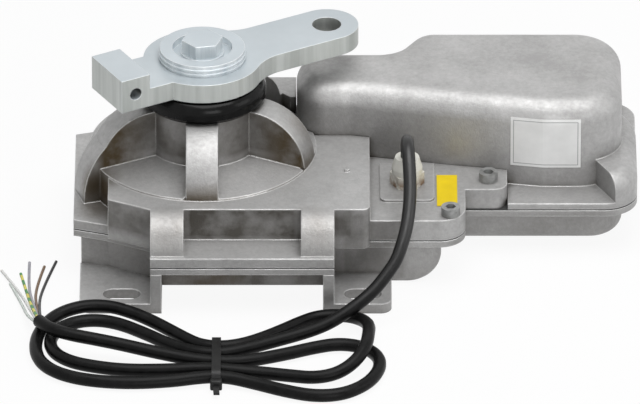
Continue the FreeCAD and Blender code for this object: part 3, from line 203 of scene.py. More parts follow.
# painted shade zones, walls darkened as if in shade: front walls, foot gap, right front corner, recess,
# dome pockets, motor tray
shadeZones = ({"X": (-0.080, 0.060), "Y": (-0.085, -0.046), "Z": (0.033, 0.053), "share": 0.9},
             {"X": (-0.046, 0.046), "Y": (-0.075, -0.040), "Z": (-0.010, 0.026), "share": 1.0},
             {"X": (0.052, 0.088), "Y": (-0.080, -0.038), "Z": (0.000, 0.050), "share": 0.75},
             {"X": (-0.030, 0.030), "Y": (-0.085, -0.046), "Z": (0.033, 0.053), "share": 1.3},
             {"X": (-0.085, 0.035), "Y": (-0.060, -0.004), "Z": (0.058, 0.100), "share": 0.95},
             {"X": (0.100, 0.200), "Y": (-0.060, 0.010), "Z": (0.000, 0.028), "share": 0.5})
zoneBorder = 0.003


def greaseAndShadeMask(tree, coords, blotch):  # brown grease marks in the dome's front pockets and a few spots elsewhere, three of them painted shade
    reach = farFrom(tree, coords, greaseAndShadeMarks["dome"], (1.0, 1.0, 0.0))
    ring = multiply(tree, spread(tree, reach, *greaseAndShadeMarks["inner"], greaseAndShadeMarks["least"], 1.0),
                    spread(tree, reach, *greaseAndShadeMarks["outer"], 0.0, 1.0))
    axes = tree.nodes.new("ShaderNodeSeparateXYZ")
    tree.links.new(coords, axes.inputs["Vector"])
    ring = multiply(tree, ring, spread(tree, axes.outputs["Y"], *greaseAndShadeMarks["front"], 0.0, 1.0))
    marks = multiply(tree, ring, facingUp(tree, *greaseAndShadeMarks["wall"]))
    for centre, outer, inner, strength in greaseAndShadeMarks["spots"]:
        spot = spread(tree, farFrom(tree, coords, centre), outer, inner, 0.0, strength)
        marks = calc(tree, "MAXIMUM", marks, spot)
    return multiply(tree, marks, spread(tree, blotch, *castBands["greaseAndShade"]))


def shadeZoneMask(tree, coords):  # walls darkened with painted shade inside the listed zones
    axes = tree.nodes.new("ShaderNodeSeparateXYZ")
    tree.links.new(coords, axes.inputs["Vector"])
    dull = None
    for zone in shadeZones:
        inside = zone["share"]
        for axis in "XYZ":
            low, high = zone[axis]
            place = axes.outputs[axis]
            past = spread(tree, place, low - zoneBorder, low + zoneBorder, 0.0, 1.0)
            short = spread(tree, place, high + zoneBorder, high - zoneBorder, 0.0, 1.0)
            inside = multiply(tree, multiply(tree, past, short), inside)
        dull = inside if dull is None else calc(tree, "MAXIMUM", dull, inside)
    return dull


# clouded skin; painted shade on sheltered walls and in the shade zones; painted shade with dirt in corners;
# grease stains with a few painted shade spots; edge wear with a painted highlight
def castAluminium(name):
    material, tree, shader = newMaterial(name)
    coords = objectCoords(tree)
    cloud = noise(tree, coords, *castNoise["cloud"])
    speckle = noise(tree, coords, *castNoise["speckle"])
    tone = calc(tree, "ADD", multiply(tree, cloud, castShares["cloud"]),
                multiply(tree, speckle, castShares["speckle"]))
    darkAt, lightAt = castBands["tone"]
    skin = ramp(tree, tone, (darkAt, castSkin["dark"]), (lightAt, castSkin["light"]))
    normal = softEdges(tree, castSkin["edge"])
    blotch = noise(tree, coords, *castNoise["blotch"])
    hidden = multiply(tree, hollowMask(tree, *castHollows["sheltered"]), castShares["sheltered"])
    hidden = calc(tree, "MAXIMUM", hidden, shadeZoneMask(tree, coords))
    # painted shade: upright walls that are sheltered or inside the shade zones get a dark grey colour, in
    # blotches
    sheltered = multiply(tree, hidden, facingUp(tree, *uprightWall))
    paintedShade = multiply(tree, sheltered, spread(tree, blotch, *castBands["paintedShade"]))
    skin = mixColour(tree, paintedShade, skin, castSkin["paintedShade"])
    # painted shade in tight corners, patchy like dirt
    corner = hollowMask(tree, *castHollows["corner"])
    dirtAndShade = multiply(tree, corner, spread(tree, blotch, *castBands["dirtAndShade"]))
    skin = mixColour(tree, dirtAndShade, skin, castSkin["dirtAndShade"])
    # brown grease stains, with painted shade at three of the spots
    skin = mixColour(tree, greaseAndShadeMask(tree, coords, blotch), skin, castSkin["greaseAndShade"])
    # pale edges: wear with a painted highlight along edges and creases
    edge = edgeMask(tree, normal, *castBands["edge"])
    wearAndHighlight = multiply(tree, edge, spread(tree, blotch, *castBands["wearAndHighlight"]))
    outward = calc(tree, "SUBTRACT", 1.0, hollowMask(tree, *castHollows["inner"]))
    # inner corners between upright walls stay dull
    brightened = calc(tree, "MAXIMUM", outward, facingUp(tree, *castBands["crease"], normal))
    wearAndHighlight = multiply(tree, wearAndHighlight, brightened)
    skin = mixColour(tree, wearAndHighlight, skin, castSkin["wearAndHighlight"])
    tree.links.new(skin, shader.inputs["Base Color"])
    sheen = spread(tree, tone, *castBands["sheen"], *castSkin["roughness"])
    tree.links.new(sheen, shader.inputs["Roughness"])
    shader.inputs["Metallic"].default_value = castSkin["metallic"]
    grain = noise(tree, coords, *castNoise["grain"])
    bump(tree, shader, grain, castBump["strength"], castBump["depth"], normal)
    return material


zincCoat = {"topLow": (0.46, 0.505, 0.53), "topHigh": (0.53, 0.575, 0.60),
            "sideLow": (0.45, 0.475, 0.455), "sideHigh": (0.60, 0.625, 0.605),
            "edge": (0.76, 0.79, 0.80), "metallic": 0.35, "boreShare": 0.85}
# brighter copy of the zinc coat for the disc, washer and bolt; its light side streaks and pale edge are
# painted highlight and painted reflection
highlitZincCoat = {"topLow": (0.49, 0.54, 0.57), "topHigh": (0.56, 0.61, 0.64),
              "sideLow": (0.56, 0.61, 0.64), "sideHigh": (0.84, 0.87, 0.88),
              "edge": (0.84, 0.86, 0.87), "metallic": 0.35, "boreShare": 0.0}
# painted shade in bores: reach, occlusion range and near-black colour
boreShade = {"reach": 0.016, "range": (0.40, 0.72), "tone": (0.07, 0.07, 0.066)}
zincNoise = {"stretch": (1.0, 1.0, 0.06), "streak": (170.0, 4.0, 0.6), "cloud": (26.0, 5.0),
             "grain": (80.0, 2.0)}
zincBands = {"top": (0.32, 0.68), "side": (0.32, 0.66), "level": (0.3, 0.8), "edge": (0.82, 0.99),
             "sheen": (0.3, 0.7, 0.30, 0.44)}
zincBump = {"strength": 0.05, "depth": 0.0003}
zincEdge = {"radius": 0.0006, "samples": 16}


def zincPlate(name, tones):  # bluish on top, upright streaks on the cut sides, painted shade in bores, painted highlight on edges
    material, tree, shader = newMaterial(name)
    coords = objectCoords(tree)
    stretch = tree.nodes.new("ShaderNodeMapping")
    stretch.inputs["Scale"].default_value = zincNoise["stretch"]
    tree.links.new(coords, stretch.inputs["Vector"])
    streak = noise(tree, stretch.outputs["Vector"], *zincNoise["streak"])
    cloud = noise(tree, coords, *zincNoise["cloud"])
    darkAt, lightAt = zincBands["top"]
    top = ramp(tree, cloud, (darkAt, tones["topLow"]), (lightAt, tones["topHigh"]))
    darkAt, lightAt = zincBands["side"]
    side = ramp(tree, streak, (darkAt, tones["sideLow"]), (lightAt, tones["sideHigh"]))
    coat = mixColour(tree, facingUp(tree, *zincBands["level"]), side, top)
    normal = softEdges(tree, zincEdge["radius"], zincEdge["samples"])
    # painted highlight: edges get a paler colour
    coat = mixColour(tree, edgeMask(tree, normal, *zincBands["edge"]), coat, tones["edge"])
    # painted shade: upright walls deep in bores get a near-black colour
    bored = hollowMask(tree, boreShade["reach"], *boreShade["range"])
    bored = multiply(tree, bored, facingUp(tree, *uprightWall))
    coat = mixColour(tree, multiply(tree, bored, tones["boreShare"]), coat, boreShade["tone"])
    tree.links.new(coat, shader.inputs["Base Color"])
    tree.links.new(spread(tree, streak, *zincBands["sheen"]), shader.inputs["Roughness"])
    shader.inputs["Metallic"].default_value = tones["metallic"]
    grain = noise(tree, coords, *zincNoise["grain"])
    bump(tree, shader, grain, zincBump["strength"], zincBump["depth"], normal)
    return material


plainBand = (0.3, 0.7)
plainGrain = {"detail": 4.0, "swing": 0.07, "bumpRatio": 8, "bumpDetail": 2.0, "bumpStrength": 0.15,
              "bumpDepth": 0.0003}


def plainFinish(name, low, high, roughness, metallic=0.0, scale=120.0, gloss=0.5):
    material, tree, shader = newMaterial(name)
    coords = objectCoords(tree)
    cloud = noise(tree, coords, scale, plainGrain["detail"])
    darkAt, lightAt = plainBand
    tree.links.new(ramp(tree, cloud, (darkAt, low), (lightAt, high)), shader.inputs["Base Color"])
    swing = plainGrain["swing"]
    sheen = spread(tree, cloud, darkAt, lightAt, roughness - swing, roughness + swing)
    tree.links.new(sheen, shader.inputs["Roughness"])
    shader.inputs["Metallic"].default_value = metallic
    shader.inputs["Specular IOR Level"].default_value = gloss
    grain = noise(tree, coords, scale * plainGrain["bumpRatio"], plainGrain["bumpDetail"])
    bump(tree, shader, grain, plainGrain["bumpStrength"], plainGrain["bumpDepth"])
    return material


creamTone = {"low": (0.62, 0.61, 0.55), "high": (0.76, 0.75, 0.69), "mark": (0.16, 0.075, 0.02),
             "markHeights": (0.0420, 0.0490), "markBand": (0.40, 0.54, 0.0, 0.95), "cloud": 70.0,
             "stain": (150.0, 5.0, 0.7), "roughness": 0.5, "bumpStrength": 0.12, "bumpDepth": 0.0003,
             "edge": 0.0006}


def creamNylon(name):  # brown marks near the foot of the gland
    material, tree, shader = newMaterial(name)
    coords = objectCoords(tree)
    height = tree.nodes.new("ShaderNodeSeparateXYZ")
    tree.links.new(coords, height.inputs["Vector"])
    stain = noise(tree, coords, *creamTone["stain"])
    foot = spread(tree, height.outputs["Z"], *creamTone["markHeights"], 1.0, 0.0)
    mark = multiply(tree, foot, spread(tree, stain, *creamTone["markBand"]))
    cloud = noise(tree, coords, creamTone["cloud"])
    darkAt, lightAt = plainBand
    cream = ramp(tree, cloud, (darkAt, creamTone["low"]), (lightAt, creamTone["high"]))
    tree.links.new(mixColour(tree, mark, cream, creamTone["mark"]), shader.inputs["Base Color"])
    shader.inputs["Roughness"].default_value = creamTone["roughness"]
    bump(tree, shader, stain, creamTone["bumpStrength"], creamTone["bumpDepth"],
         softEdges(tree, creamTone["edge"]))
    return material


jacketTone = {"low": (0.003, 0.003, 0.003), "high": (0.008, 0.008, 0.008), "roughness": 0.36,
              "scale": 220.0}
jacketSheen = {"heights": (0.014, 0.045), "gloss": (0.10, 0.42)}


def cableJacket(name):  # the lead is rubbed shinier than the turns on the floor
    material = plainFinish(name, **jacketTone)
    tree = material.node_tree
    axes = tree.nodes.new("ShaderNodeSeparateXYZ")
    tree.links.new(objectCoords(tree), axes.inputs["Vector"])
    sheen = spread(tree, axes.outputs["Z"], *jacketSheen["heights"], *jacketSheen["gloss"])
    tree.links.new(sheen, tree.nodes["Principled BSDF"].inputs["Specular IOR Level"])
    return material


plainTones = {
    "dullZinc": {"low": (0.20, 0.20, 0.195), "high": (0.36, 0.365, 0.36), "roughness": 0.42,
                 "metallic": 0.5, "scale": 260.0},
    "sealRubber": {"low": (0.003, 0.003, 0.003), "high": (0.006, 0.006, 0.006), "roughness": 0.17,
                   "gloss": 0.13},
    "blackNylon": {"low": (0.004, 0.004, 0.004), "high": (0.010, 0.010, 0.010), "roughness": 0.38,
                   "gloss": 0.25},
    "gasketRubber": {"low": (0.02, 0.02, 0.02), "high": (0.035, 0.035, 0.034), "roughness": 0.7},
    "gearSteel": {"low": (0.30, 0.30, 0.31), "high": (0.42, 0.42, 0.43), "roughness": 0.34,
                  "metallic": 0.9},
    "groundSteel": {"low": (0.50, 0.50, 0.51), "high": (0.62, 0.62, 0.63), "roughness": 0.24,
                    "metallic": 0.95},
    "bronze": {"low": (0.46, 0.30, 0.12), "high": (0.58, 0.40, 0.18), "roughness": 0.36, "metallic": 0.9},
    "copperWire": {"low": (0.46, 0.20, 0.09), "high": (0.58, 0.28, 0.14), "roughness": 0.38,
                   "metallic": 0.85, "scale": 400.0},
    "ferrite": {"low": (0.035, 0.035, 0.037), "high": (0.06, 0.06, 0.062), "roughness": 0.62},
    "carbonBrush": {"low": (0.02, 0.02, 0.02), "high": (0.04, 0.04, 0.04), "roughness": 0.6},
    "circuitBoard": {"low": (0.01, 0.10, 0.04), "high": (0.02, 0.15, 0.06), "roughness": 0.4},
}
plain = {name: plainFinish(name, **tones) for name, tones in plainTones.items()}
castMaterial = castAluminium("castAluminium")
zincMaterial = zincPlate("zincPlate", zincCoat)
highlitZincMaterial = zincPlate("highlitZinc", highlitZincCoat)
jacketMaterial = cableJacket("cableJacket")
creamMaterial = creamNylon("creamNylon")

finishes = {"cast_aluminium": castMaterial, "zinc_plated_steel": zincMaterial,
            "bright_steel": plain["groundSteel"], "gear_steel": plain["gearSteel"],
            "bronze": plain["bronze"], "copper": plain["copperWire"], "ferrite": plain["ferrite"],
            "black_rubber": plain["sealRubber"], "cable_jacket": jacketMaterial,
            "black_nylon": plain["blackNylon"], "cream_nylon": creamMaterial,
            "carbon": plain["carbonBrush"], "board": plain["circuitBoard"], "gasket": plain["gasketRubber"]}
ownFinishes = {"clamp_disc": highlitZincMaterial, "bolt_washer": highlitZincMaterial, "lever_bolt": highlitZincMaterial,
               "flange_screws": plain["dullZinc"]}
for subpart in frame["record"]["subparts"]:
    nodeName = subpart["node"]
    mesh = nodes[nodeName].data
    mesh.materials.clear()
    mesh.materials.append(ownFinishes.get(nodeName, finishes[subpart["material_slot"]]))
print("finishes on all CAD nodes")


# helpers for pieces made by hand

def clearSelection():
    if bpy.context.object is not None and bpy.context.object.mode != "OBJECT":
        bpy.ops.object.mode_set(mode="OBJECT")
    bpy.ops.object.select_all(action="DESELECT")


def nameAndDress(piece, name, material, body="housing"):
    piece.name = name
    piece.data.name = name
    piece.data.materials.clear()
    piece.data.materials.append(material)
    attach(piece, body)
    return piece


def pickOnly(*pieces):  # the first one becomes the active one
    clearSelection()
    for piece in pieces:
        piece.select_set(True)
    bpy.context.view_layer.objects.active = pieces[0]


def settle(piece):  # its place goes into its mesh
    pickOnly(piece)
    bpy.ops.object.transform_apply(location=True, rotation=True, scale=True)


# supply cable: the lead from the gland, then the tied hank in front of the feet

cable = {"diameter": 0.007, "length": 1.208, "exit": (0.0876, -0.0210, 0.0570)}
leadPoints = [(0.0876, -0.0210, 0.0570), (0.0876, -0.0210, 0.0616), (0.0876, -0.0255, 0.0690),
              (0.0877, -0.0332, 0.0732), (0.0880, -0.0420, 0.0726), (0.0886, -0.0505, 0.0670),
              (0.0890, -0.0580, 0.0602), (0.0888, -0.0648, 0.0540), (0.0880, -0.0712, 0.0482),
              (0.0866, -0.0774, 0.0425), (0.0844, -0.0830, 0.0370), (0.0816, -0.0885, 0.0310),
              (0.0760, -0.0940, 0.0250), (0.0700, -0.0995, 0.0195), (0.0626, -0.1055, 0.0155),
              (0.0543, -0.1120, 0.0122), (0.0455, -0.1180, 0.0094), (0.0345, -0.1228, 0.0072),
              (0.0177, -0.1294, 0.0056), (0.0010, -0.1375, 0.0050)]
innerLeftTurn = [(-0.0120, -0.1422, 0.0049), (-0.0251, -0.1397, 0.0046), (-0.0380, -0.1305, 0.0038),
                 (-0.0514, -0.1178, 0.0036), (-0.0655, -0.1068, 0.0036), (-0.0785, -0.1030, 0.0036),
                 (-0.0905, -0.1065, 0.0036), (-0.0987, -0.1155, 0.0036), (-0.1019, -0.1275, 0.0036),
                 (-0.0988, -0.1396, 0.0036), (-0.0900, -0.1485, 0.0036), (-0.0776, -0.1535, 0.0036),
                 (-0.0615, -0.1572, 0.0036), (-0.0401, -0.1575, 0.0038), (-0.0246, -0.1572, 0.0046)]
innerRightTurn = [(-0.0134, -0.1579, 0.0049), (-0.0016, -0.1596, 0.0046), (0.0102, -0.1602, 0.0038),
                  (0.0251, -0.1630, 0.0036), (0.0386, -0.1666, 0.0042), (0.0510, -0.1648, 0.0060),
                  (0.0607, -0.1568, 0.0094), (0.0658, -0.1448, 0.0124), (0.0668, -0.1335, 0.0122),
                  (0.0672, -0.1240, 0.0106), (0.0662, -0.1150, 0.0082), (0.0625, -0.1069, 0.0062),
                  (0.0559, -0.1012, 0.0048), (0.0473, -0.0989, 0.0040), (0.0386, -0.1005, 0.0037),
                  (0.0312, -0.1058, 0.0037), (0.0235, -0.1127, 0.0037), (0.0135, -0.1215, 0.0039),
                  (0.0025, -0.1303, 0.0046)]
outerLeftTurn = [(-0.0068, -0.1343, 0.0049), (-0.0154, -0.1346, 0.0049), (-0.0232, -0.1312, 0.0046),
                 (-0.0300, -0.1245, 0.0044), (-0.0375, -0.1165, 0.0044), (-0.0460, -0.1085, 0.0050),
                 (-0.0565, -0.1008, 0.0060), (-0.0701, -0.0948, 0.0074), (-0.0851, -0.0948, 0.0074),
                 (-0.0985, -0.1012, 0.0058), (-0.1072, -0.1155, 0.0040), (-0.1095, -0.1335, 0.0036),
                 (-0.1060, -0.1497, 0.0036), (-0.0963, -0.1611, 0.0036), (-0.0808, -0.1682, 0.0036),
                 (-0.0588, -0.1710, 0.0036), (-0.0364, -0.1690, 0.0038), (-0.0230, -0.1667, 0.0046)]
outerRightTurn = [(-0.0134, -0.1662, 0.0049), (-0.0048, -0.1672, 0.0046), (0.0070, -0.1714, 0.0038),
                  (0.0241, -0.1798, 0.0036), (0.0391, -0.1848, 0.0036), (0.0540, -0.1826, 0.0036),
                  (0.0663, -0.1716, 0.0036), (0.0728, -0.1565, 0.0036), (0.0725, -0.1430, 0.0036),
                  (0.0645, -0.1324, 0.0036), (0.0512, -0.1287, 0.0036), (0.0376, -0.1332, 0.0036),
                  (0.0219, -0.1410, 0.0038), (0.0016, -0.1497, 0.0046)]
freeEnd = [(-0.0134, -0.1504, 0.0049), (-0.0262, -0.1488, 0.0054), (-0.0444, -0.1446, 0.0070),
           (-0.0637, -0.1394, 0.0092), (-0.0780, -0.1368, 0.0110), (-0.0883, -0.1348, 0.0120),
           (-0.0968, -0.1312, 0.0124), (-0.1033, -0.1256, 0.0122), (-0.1073, -0.1183, 0.0116)]
cordDetail = {"order": 3, "alongEachPoint": 10, "round": 5}


def layCord(name, points, radius, material):
    clearSelection()
    bpy.ops.curve.primitive_nurbs_path_add(location=(0, 0, 0))
    piece = bpy.context.object
    line = piece.data
    line.splines.clear()
    spline = line.splines.new("NURBS")
    spline.points.add(len(points) - 1)
    for point, spot in zip(spline.points, points):
        point.co = (*spot, 1.0)
    spline.order_u = cordDetail["order"]
    spline.use_endpoint_u = True
    spline.resolution_u = cordDetail["alongEachPoint"]
    line.bevel_depth = radius
    line.bevel_resolution = cordDetail["round"]
    line.use_fill_caps = True
    return nameAndDress(piece, name, material)


cablePoints = leadPoints + innerLeftTurn + innerRightTurn + outerLeftTurn + outerRightTurn + freeEnd
supplyCable = layCord("supplyCable", cablePoints, cable["diameter"] / 2, jacketMaterial)
print("cable laid,", len(cablePoints), "points")


# long lens far off, as flat as the photo

camera = {"target": (0.0412, 0.0, 0.0177), "elevation": 29.0, "distance": 8.0, "lens": 841.2,
          "sensor": 36.0, "reach": 20.0}
lift = math.radians(camera["elevation"])
lens = bpy.data.cameras.new("photoCamera")
lens.lens = camera["lens"]
lens.sensor_width = camera["sensor"]
lens.clip_end = camera["reach"]
photoCamera = bpy.data.objects.new("photoCamera", lens)
bpy.context.scene.collection.objects.link(photoCamera)
viewLine = Vector((0, -math.cos(lift), math.sin(lift)))
photoCamera.location = Vector(camera["target"]) + camera["distance"] * viewLine
photoCamera.rotation_euler = (math.radians(90.0) - lift, 0.0, 0.0)
bpy.context.scene.camera = photoCamera
print("camera placed")


# floor, lamps and world

paperSheet = {"side": 9.0, "place": (0.04, 0.0, -0.0004), "tone": (0.80, 0.80, 0.80), "roughness": 0.9,
              "glow": 1.0, "glowShare": 0.92}
clearSelection()
bpy.ops.mesh.primitive_plane_add(size=paperSheet["side"], location=paperSheet["place"])
floor = bpy.context.object
floor.name = "studioFloor"
paper, paperTree, paperShader = newMaterial("studioPaper")
paperShader.inputs["Base Color"].default_value = (*paperSheet["tone"], 1.0)
paperShader.inputs["Roughness"].default_value = paperSheet["roughness"]
glow = paperTree.nodes.new("ShaderNodeEmission")
glow.inputs["Strength"].default_value = paperSheet["glow"]
seen = multiply(paperTree, seenRays(paperTree), paperSheet["glowShare"])
blendPaper = paperTree.nodes.new("ShaderNodeMixShader")
paperTree.links.new(seen, blendPaper.inputs["Fac"])
paperTree.links.new(paperShader.outputs["BSDF"], blendPaper.inputs[1])
paperTree.links.new(glow.outputs["Emission"], blendPaper.inputs[2])
paperTree.links.new(blendPaper.outputs["Shader"], paperTree.nodes["Material Output"].inputs["Surface"])
floor.data.materials.append(paper)

lamps = {"overheadSoftbox": {"place": (0.2, -0.25, 1.75), "aim": (0.05, 0.0, 0.05), "side": 1.5,
                             "power": 32.0},
         "sideSoftbox": {"place": (1.6, -0.3, 0.8), "aim": (0.05, 0.0, 0.05), "side": 0.8, "power": 3.5},
         "frontFill": {"place": (0.6, -1.9, 0.5), "aim": (0.05, 0.0, 0.04), "side": 0.9, "power": 9.0}}
for lampName, lamp in lamps.items():
    light = bpy.data.lights.new(lampName, "AREA")
    light.size = lamp["side"]
    light.energy = lamp["power"]
    holder = bpy.data.objects.new(lampName, light)
    bpy.context.scene.collection.objects.link(holder)
    holder.location = lamp["place"]
    aim = Vector(lamp["aim"]) - Vector(lamp["place"])
    holder.rotation_euler = aim.to_track_quat("-Z", "Y").to_euler()

sky = {"strength": 0.12, "tint": (0.92, 0.95, 1.0), "seen": (1.0, 1.0, 1.0)}
studio = bpy.data.worlds.new("studio")
bpy.context.scene.world = studio
studio.use_nodes = True
studioTree = studio.node_tree
background = studioTree.nodes["Background"]
background.inputs["Strength"].default_value = sky["strength"]
background.inputs["Color"].default_value = (*sky["tint"], 1.0)
direct = studioTree.nodes.new("ShaderNodeBackground")
direct.inputs["Color"].default_value = (*sky["seen"], 1.0)
skyMix = studioTree.nodes.new("ShaderNodeMixShader")
studioTree.links.new(seenRays(studioTree), skyMix.inputs["Fac"])
studioTree.links.new(background.outputs["Background"], skyMix.inputs[1])
studioTree.links.new(direct.outputs["Background"], skyMix.inputs[2])
studioTree.links.new(skyMix.outputs["Shader"], studioTree.nodes["World Output"].inputs["Surface"])
bpy.context.scene.view_settings.view_transform = "Standard"
print("floor and lamps set")


# cores that fan out of the cable's bare end

cores = {"diameter": 0.0016,
         "length": {"whiteCore": 0.0775, "paleCore": 0.0621, "earthCore": 0.0724, "greyCore": 0.0833,
                    "brownCore": 0.0782, "blackCore": 0.0855}}
coreWays = {
    "whiteCore": [(-0.1081, -0.1190, 0.0112), (-0.1118, -0.0999, 0.0070), (-0.1182, -0.0699, 0.0014),
                  (-0.1284, -0.0453, 0.0009)],
    "paleCore": [(-0.1078, -0.1185, 0.0100), (-0.1134, -0.1034, 0.0050), (-0.1166, -0.0835, 0.0012),
                 (-0.1236, -0.0596, 0.0009)],
    "earthCore": [(-0.1074, -0.1190, 0.0126), (-0.1123, -0.0914, 0.0062), (-0.1150, -0.0677, 0.0014),
                  (-0.1182, -0.0486, 0.0009)],
    "greyCore": [(-0.1072, -0.1184, 0.0116), (-0.1107, -0.0903, 0.0056), (-0.1140, -0.0644, 0.0014),
                 (-0.1137, -0.0364, 0.0009)],
    "brownCore": [(-0.1066, -0.1179, 0.0104), (-0.1092, -0.0914, 0.0050), (-0.1102, -0.0666, 0.0014),
                  (-0.1057, -0.0408, 0.0009)],
    "blackCore": [(-0.1062, -0.1190, 0.0120), (-0.1080, -0.0935, 0.0058), (-0.1065, -0.0662, 0.0014),
                  (-0.0995, -0.0353, 0.0009)],
}
coreTones = {"whiteCore": ((0.66, 0.66, 0.64), (0.78, 0.78, 0.76)),
             "paleCore": ((0.55, 0.60, 0.56), (0.70, 0.74, 0.70)),
             "greyCore": ((0.28, 0.28, 0.31), (0.38, 0.37, 0.41)),
             "brownCore": ((0.14, 0.085, 0.05), (0.20, 0.13, 0.08)),
             "blackCore": ((0.012, 0.012, 0.012), (0.03, 0.03, 0.03))}
coreSheath = {"roughness": 0.42, "scale": 300.0}
earthSheath = {"green": (0.05, 0.24, 0.06), "yellow": (0.66, 0.60, 0.10), "greenTo": 0.42,
               "yellowFrom": 0.55, "scale": 26.0, "waver": 1.2, "roughness": 0.4}


def stripedEarth(name):  # green and yellow in turn along the core
    material, tree, shader = newMaterial(name)
    stripe = tree.nodes.new("ShaderNodeTexWave")
    stripe.inputs["Scale"].default_value = earthSheath["scale"]
    stripe.inputs["Distortion"].default_value = earthSheath["waver"]
    stripe.bands_direction = "Y"
    tree.links.new(objectCoords(tree), stripe.inputs["Vector"])
    colour = ramp(tree, stripe.outputs["Fac"], (earthSheath["greenTo"], earthSheath["green"]),
                  (earthSheath["yellowFrom"], earthSheath["yellow"]))
    tree.links.new(colour, shader.inputs["Base Color"])
    shader.inputs["Roughness"].default_value = earthSheath["roughness"]
    return material


for coreName, way in coreWays.items():
    if coreName == "earthCore":
        coreMaterial = stripedEarth(coreName + "Sheath")
    else:
        low, high = coreTones[coreName]
        coreMaterial = plainFinish(coreName + "Sheath", low, high, **coreSheath)
    piece = layCord(coreName, way, cores["diameter"] / 2, coreMaterial)
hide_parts("cable_lead", "cable_hank")
print("cores fanned out:", len(coreWays))


# cable tie round the waist of the hank

tie = {"width": 0.0048, "thick": 0.0011, "low": 0.0013, "high": 0.0087, "front": -0.1701, "back": -0.1307,
       "x": -0.0134, "corner": 0.0032, "cornerSteps": 5, "sideways": 0.9, "smooth": 35.0}
tieHead = {"size": (0.0064, 0.0044, 0.0058), "before": 0.0022, "height": 0.0037, "edge": 0.0009,
           "edgeSteps": 3, "tailInset": 0.0007, "tailShare": 0.42,
           "tail": ((0.0, -0.0030, -0.0002), (0.0003, -0.0036, -0.0008))}


def startPicking(kind):  # nothing is picked, and picks are faces or edges, in object mode
    bpy.ops.object.mode_set(mode="EDIT")
    bpy.ops.mesh.select_mode(type=kind)
    bpy.ops.mesh.select_all(action="DESELECT")
    bpy.ops.object.mode_set(mode="OBJECT")


def makeTie():
    clearSelection()
    middle = (tie["x"], (tie["front"] + tie["back"]) / 2, (tie["low"] + tie["high"]) / 2)
    bpy.ops.mesh.primitive_cube_add(size=1.0, location=middle)
    band = bpy.context.object
    band.scale = (tie["width"], tie["back"] - tie["front"], tie["high"] - tie["low"])
    settle(band)
    startPicking("FACE")
    for face in band.data.polygons:
        face.select = abs(face.normal.x) > tie["sideways"]
    bpy.ops.object.mode_set(mode="EDIT")
    bpy.ops.mesh.delete(type="ONLY_FACE")
    startPicking("EDGE")
    for edge in band.data.edges:
        ends = [band.data.vertices[v].co for v in edge.vertices]
        edge.select = abs(ends[0].x - ends[1].x) > tie["width"] / 2
    bpy.ops.object.mode_set(mode="EDIT")
    bpy.ops.mesh.bevel(offset=tie["corner"], offset_type="OFFSET", segments=tie["cornerSteps"],
                       affect="EDGES")
    bpy.ops.object.mode_set(mode="OBJECT")
    wall = band.modifiers.new("wall", "SOLIDIFY")
    wall.thickness = tie["thick"]
    wall.offset = 1.0
    bpy.ops.object.modifier_apply(modifier="wall")
    pickOnly(band, makeTieHead())
    bpy.ops.object.join()
    return band


def makeTieHead():  # square lock in front, with the cut tail lying out of it
    clearSelection()
    spot = (tie["x"], tie["front"] - tieHead["before"], tieHead["height"])
    bpy.ops.mesh.primitive_cube_add(size=1.0, location=spot)
    head = bpy.context.object
    head.scale = tieHead["size"]
    settle(head)
    bpy.ops.object.mode_set(mode="EDIT")
    bpy.ops.mesh.select_all(action="SELECT")
    bpy.ops.mesh.bevel(offset=tieHead["edge"], offset_type="OFFSET", segments=tieHead["edgeSteps"],
                       affect="EDGES")
    startPicking("FACE")
    front = max(head.data.polygons, key=lambda face: -face.normal.y * face.area)
    front.select = True
    bpy.ops.object.mode_set(mode="EDIT")
    bpy.ops.mesh.inset(thickness=tieHead["tailInset"], depth=0.0)
    bpy.ops.transform.resize(value=(1.0, 1.0, tieHead["tailShare"]))
    for step in tieHead["tail"]:
        bpy.ops.mesh.extrude_region_move(TRANSFORM_OT_translate={"value": step})
    bpy.ops.object.mode_set(mode="OBJECT")
    return head


cableTie = nameAndDress(makeTie(), "cableTie", plain["blackNylon"])
pickOnly(cableTie)
bpy.ops.object.shade_smooth_by_angle(angle=math.radians(tie["smooth"]))
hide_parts("cable_tie")
print("cable tie made")


# bare plates: a rating plate on the cover's wall and a yellow tag on the ledge

plate = {"x": (0.1428, 0.1803), "z": (0.0428, 0.0716), "startY": -0.012, "lift": 0.0004, "margin": 0.0016,
         "line": 0.00044, "low": (0.70, 0.70, 0.69), "high": (0.79, 0.79, 0.78),
         "frame": (0.34, 0.34, 0.34), "cloud": 90.0, "roughness": 0.42, "metallic": 0.1}
tag = {"x": (0.1034, 0.1143), "y": (-0.0441, -0.0103), "startZ": 0.042, "lift": 0.0004}
tagFoil = {"low": (0.69, 0.50, 0.01), "high": (0.78, 0.58, 0.012), "roughness": 0.4, "gloss": 0.2}
stickerGrid = {"across": 24, "along": 18, "thickShare": 0.9}


def makeSticker(name, place, size, turn, target, axis, lift, material):
    clearSelection()
    bpy.ops.mesh.primitive_grid_add(x_subdivisions=stickerGrid["across"],
                                    y_subdivisions=stickerGrid["along"], size=1.0, location=place)
    sticker = bpy.context.object
    sticker.scale = (size[0], size[1], 1.0)
    sticker.rotation_euler = turn
    settle(sticker)
    wrap = sticker.modifiers.new("wrap", "SHRINKWRAP")
    wrap.target = nodes[target]
    wrap.wrap_method = "PROJECT"
    wrap.use_project_x = axis == "X"
    wrap.use_project_y = axis == "Y"
    wrap.use_project_z = axis == "Z"
    wrap.use_negative_direction = True
    wrap.use_positive_direction = True
    wrap.offset = lift
    bpy.ops.object.modifier_apply(modifier="wrap")
    thick = sticker.modifiers.new("thick", "SOLIDIFY")
    thick.thickness = lift * stickerGrid["thickShare"]
    thick.offset = -1.0
    bpy.ops.object.modifier_apply(modifier="thick")
    nameAndDress(sticker, name, material)


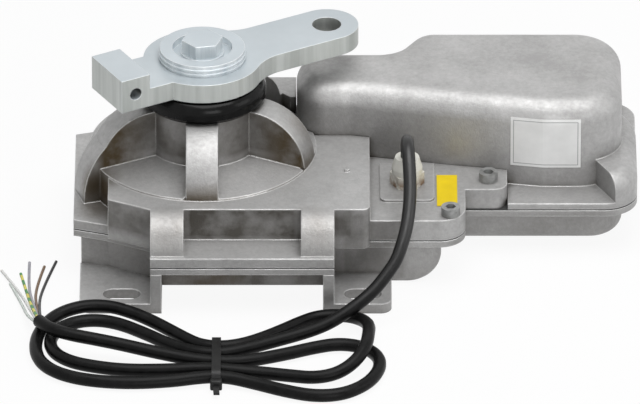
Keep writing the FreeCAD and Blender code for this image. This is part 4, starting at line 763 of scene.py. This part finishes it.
def plateSheet(name):  # pale bare foil with a thin frame
    material, tree, shader = newMaterial(name)
    coords = objectCoords(tree)
    axes = tree.nodes.new("ShaderNodeSeparateXYZ")
    tree.links.new(coords, axes.inputs["Vector"])
    darkAt, lightAt = plainBand
    tone = ramp(tree, noise(tree, coords, plate["cloud"]), (darkAt, plate["low"]), (lightAt, plate["high"]))
    outside = []
    for socket, (low, high) in (("X", plate["x"]), ("Z", plate["z"])):
        away = calc(tree, "SUBTRACT", axes.outputs[socket], (low + high) / 2)
        size = calc(tree, "ABSOLUTE", away)
        outside.append(calc(tree, "SUBTRACT", size, (high - low) / 2 - plate["margin"]))
    line = calc(tree, "COMPARE", calc(tree, "MAXIMUM", *outside), 0.0, plate["line"] / 2)
    tree.links.new(mixColour(tree, line, tone, plate["frame"]), shader.inputs["Base Color"])
    shader.inputs["Roughness"].default_value = plate["roughness"]
    shader.inputs["Metallic"].default_value = plate["metallic"]
    return material


plateMiddle = (sum(plate["x"]) / 2, plate["startY"], sum(plate["z"]) / 2)
plateSize = (plate["x"][1] - plate["x"][0], plate["z"][1] - plate["z"][0])
makeSticker("ratingPlate", plateMiddle, plateSize, (math.radians(90), 0, 0), "motor_cover", "Y",
            plate["lift"], plateSheet("plateFoil"))
tagMiddle = (sum(tag["x"]) / 2, sum(tag["y"]) / 2, tag["startZ"])
tagSize = (tag["x"][1] - tag["x"][0], tag["y"][1] - tag["y"][0])
makeSticker("yellowTag", tagMiddle, tagSize, (0, 0, 0), "upper_housing", "Z", tag["lift"],
            plainFinish("tagFoil", **tagFoil))
print("plates stuck on")


# two fine beads round the clamp disc under the bolt

beads = {"axis": (-0.0214, 0.0), "radius": 0.0227, "thick": 0.0006, "heights": (0.10725, 0.1096),
         "around": 128, "across": 10}
rings = []
for height in beads["heights"]:
    clearSelection()
    bpy.ops.mesh.primitive_torus_add(major_radius=beads["radius"], minor_radius=beads["thick"],
                                     major_segments=beads["around"], minor_segments=beads["across"],
                                     location=(*beads["axis"], height))
    ring = bpy.context.object
    settle(ring)
    rings.append(ring)
pickOnly(*rings)
bpy.ops.object.join()
bpy.ops.object.shade_smooth()
nameAndDress(rings[0], "discBeads", highlitZincMaterial, "output")
print("disc beads made")
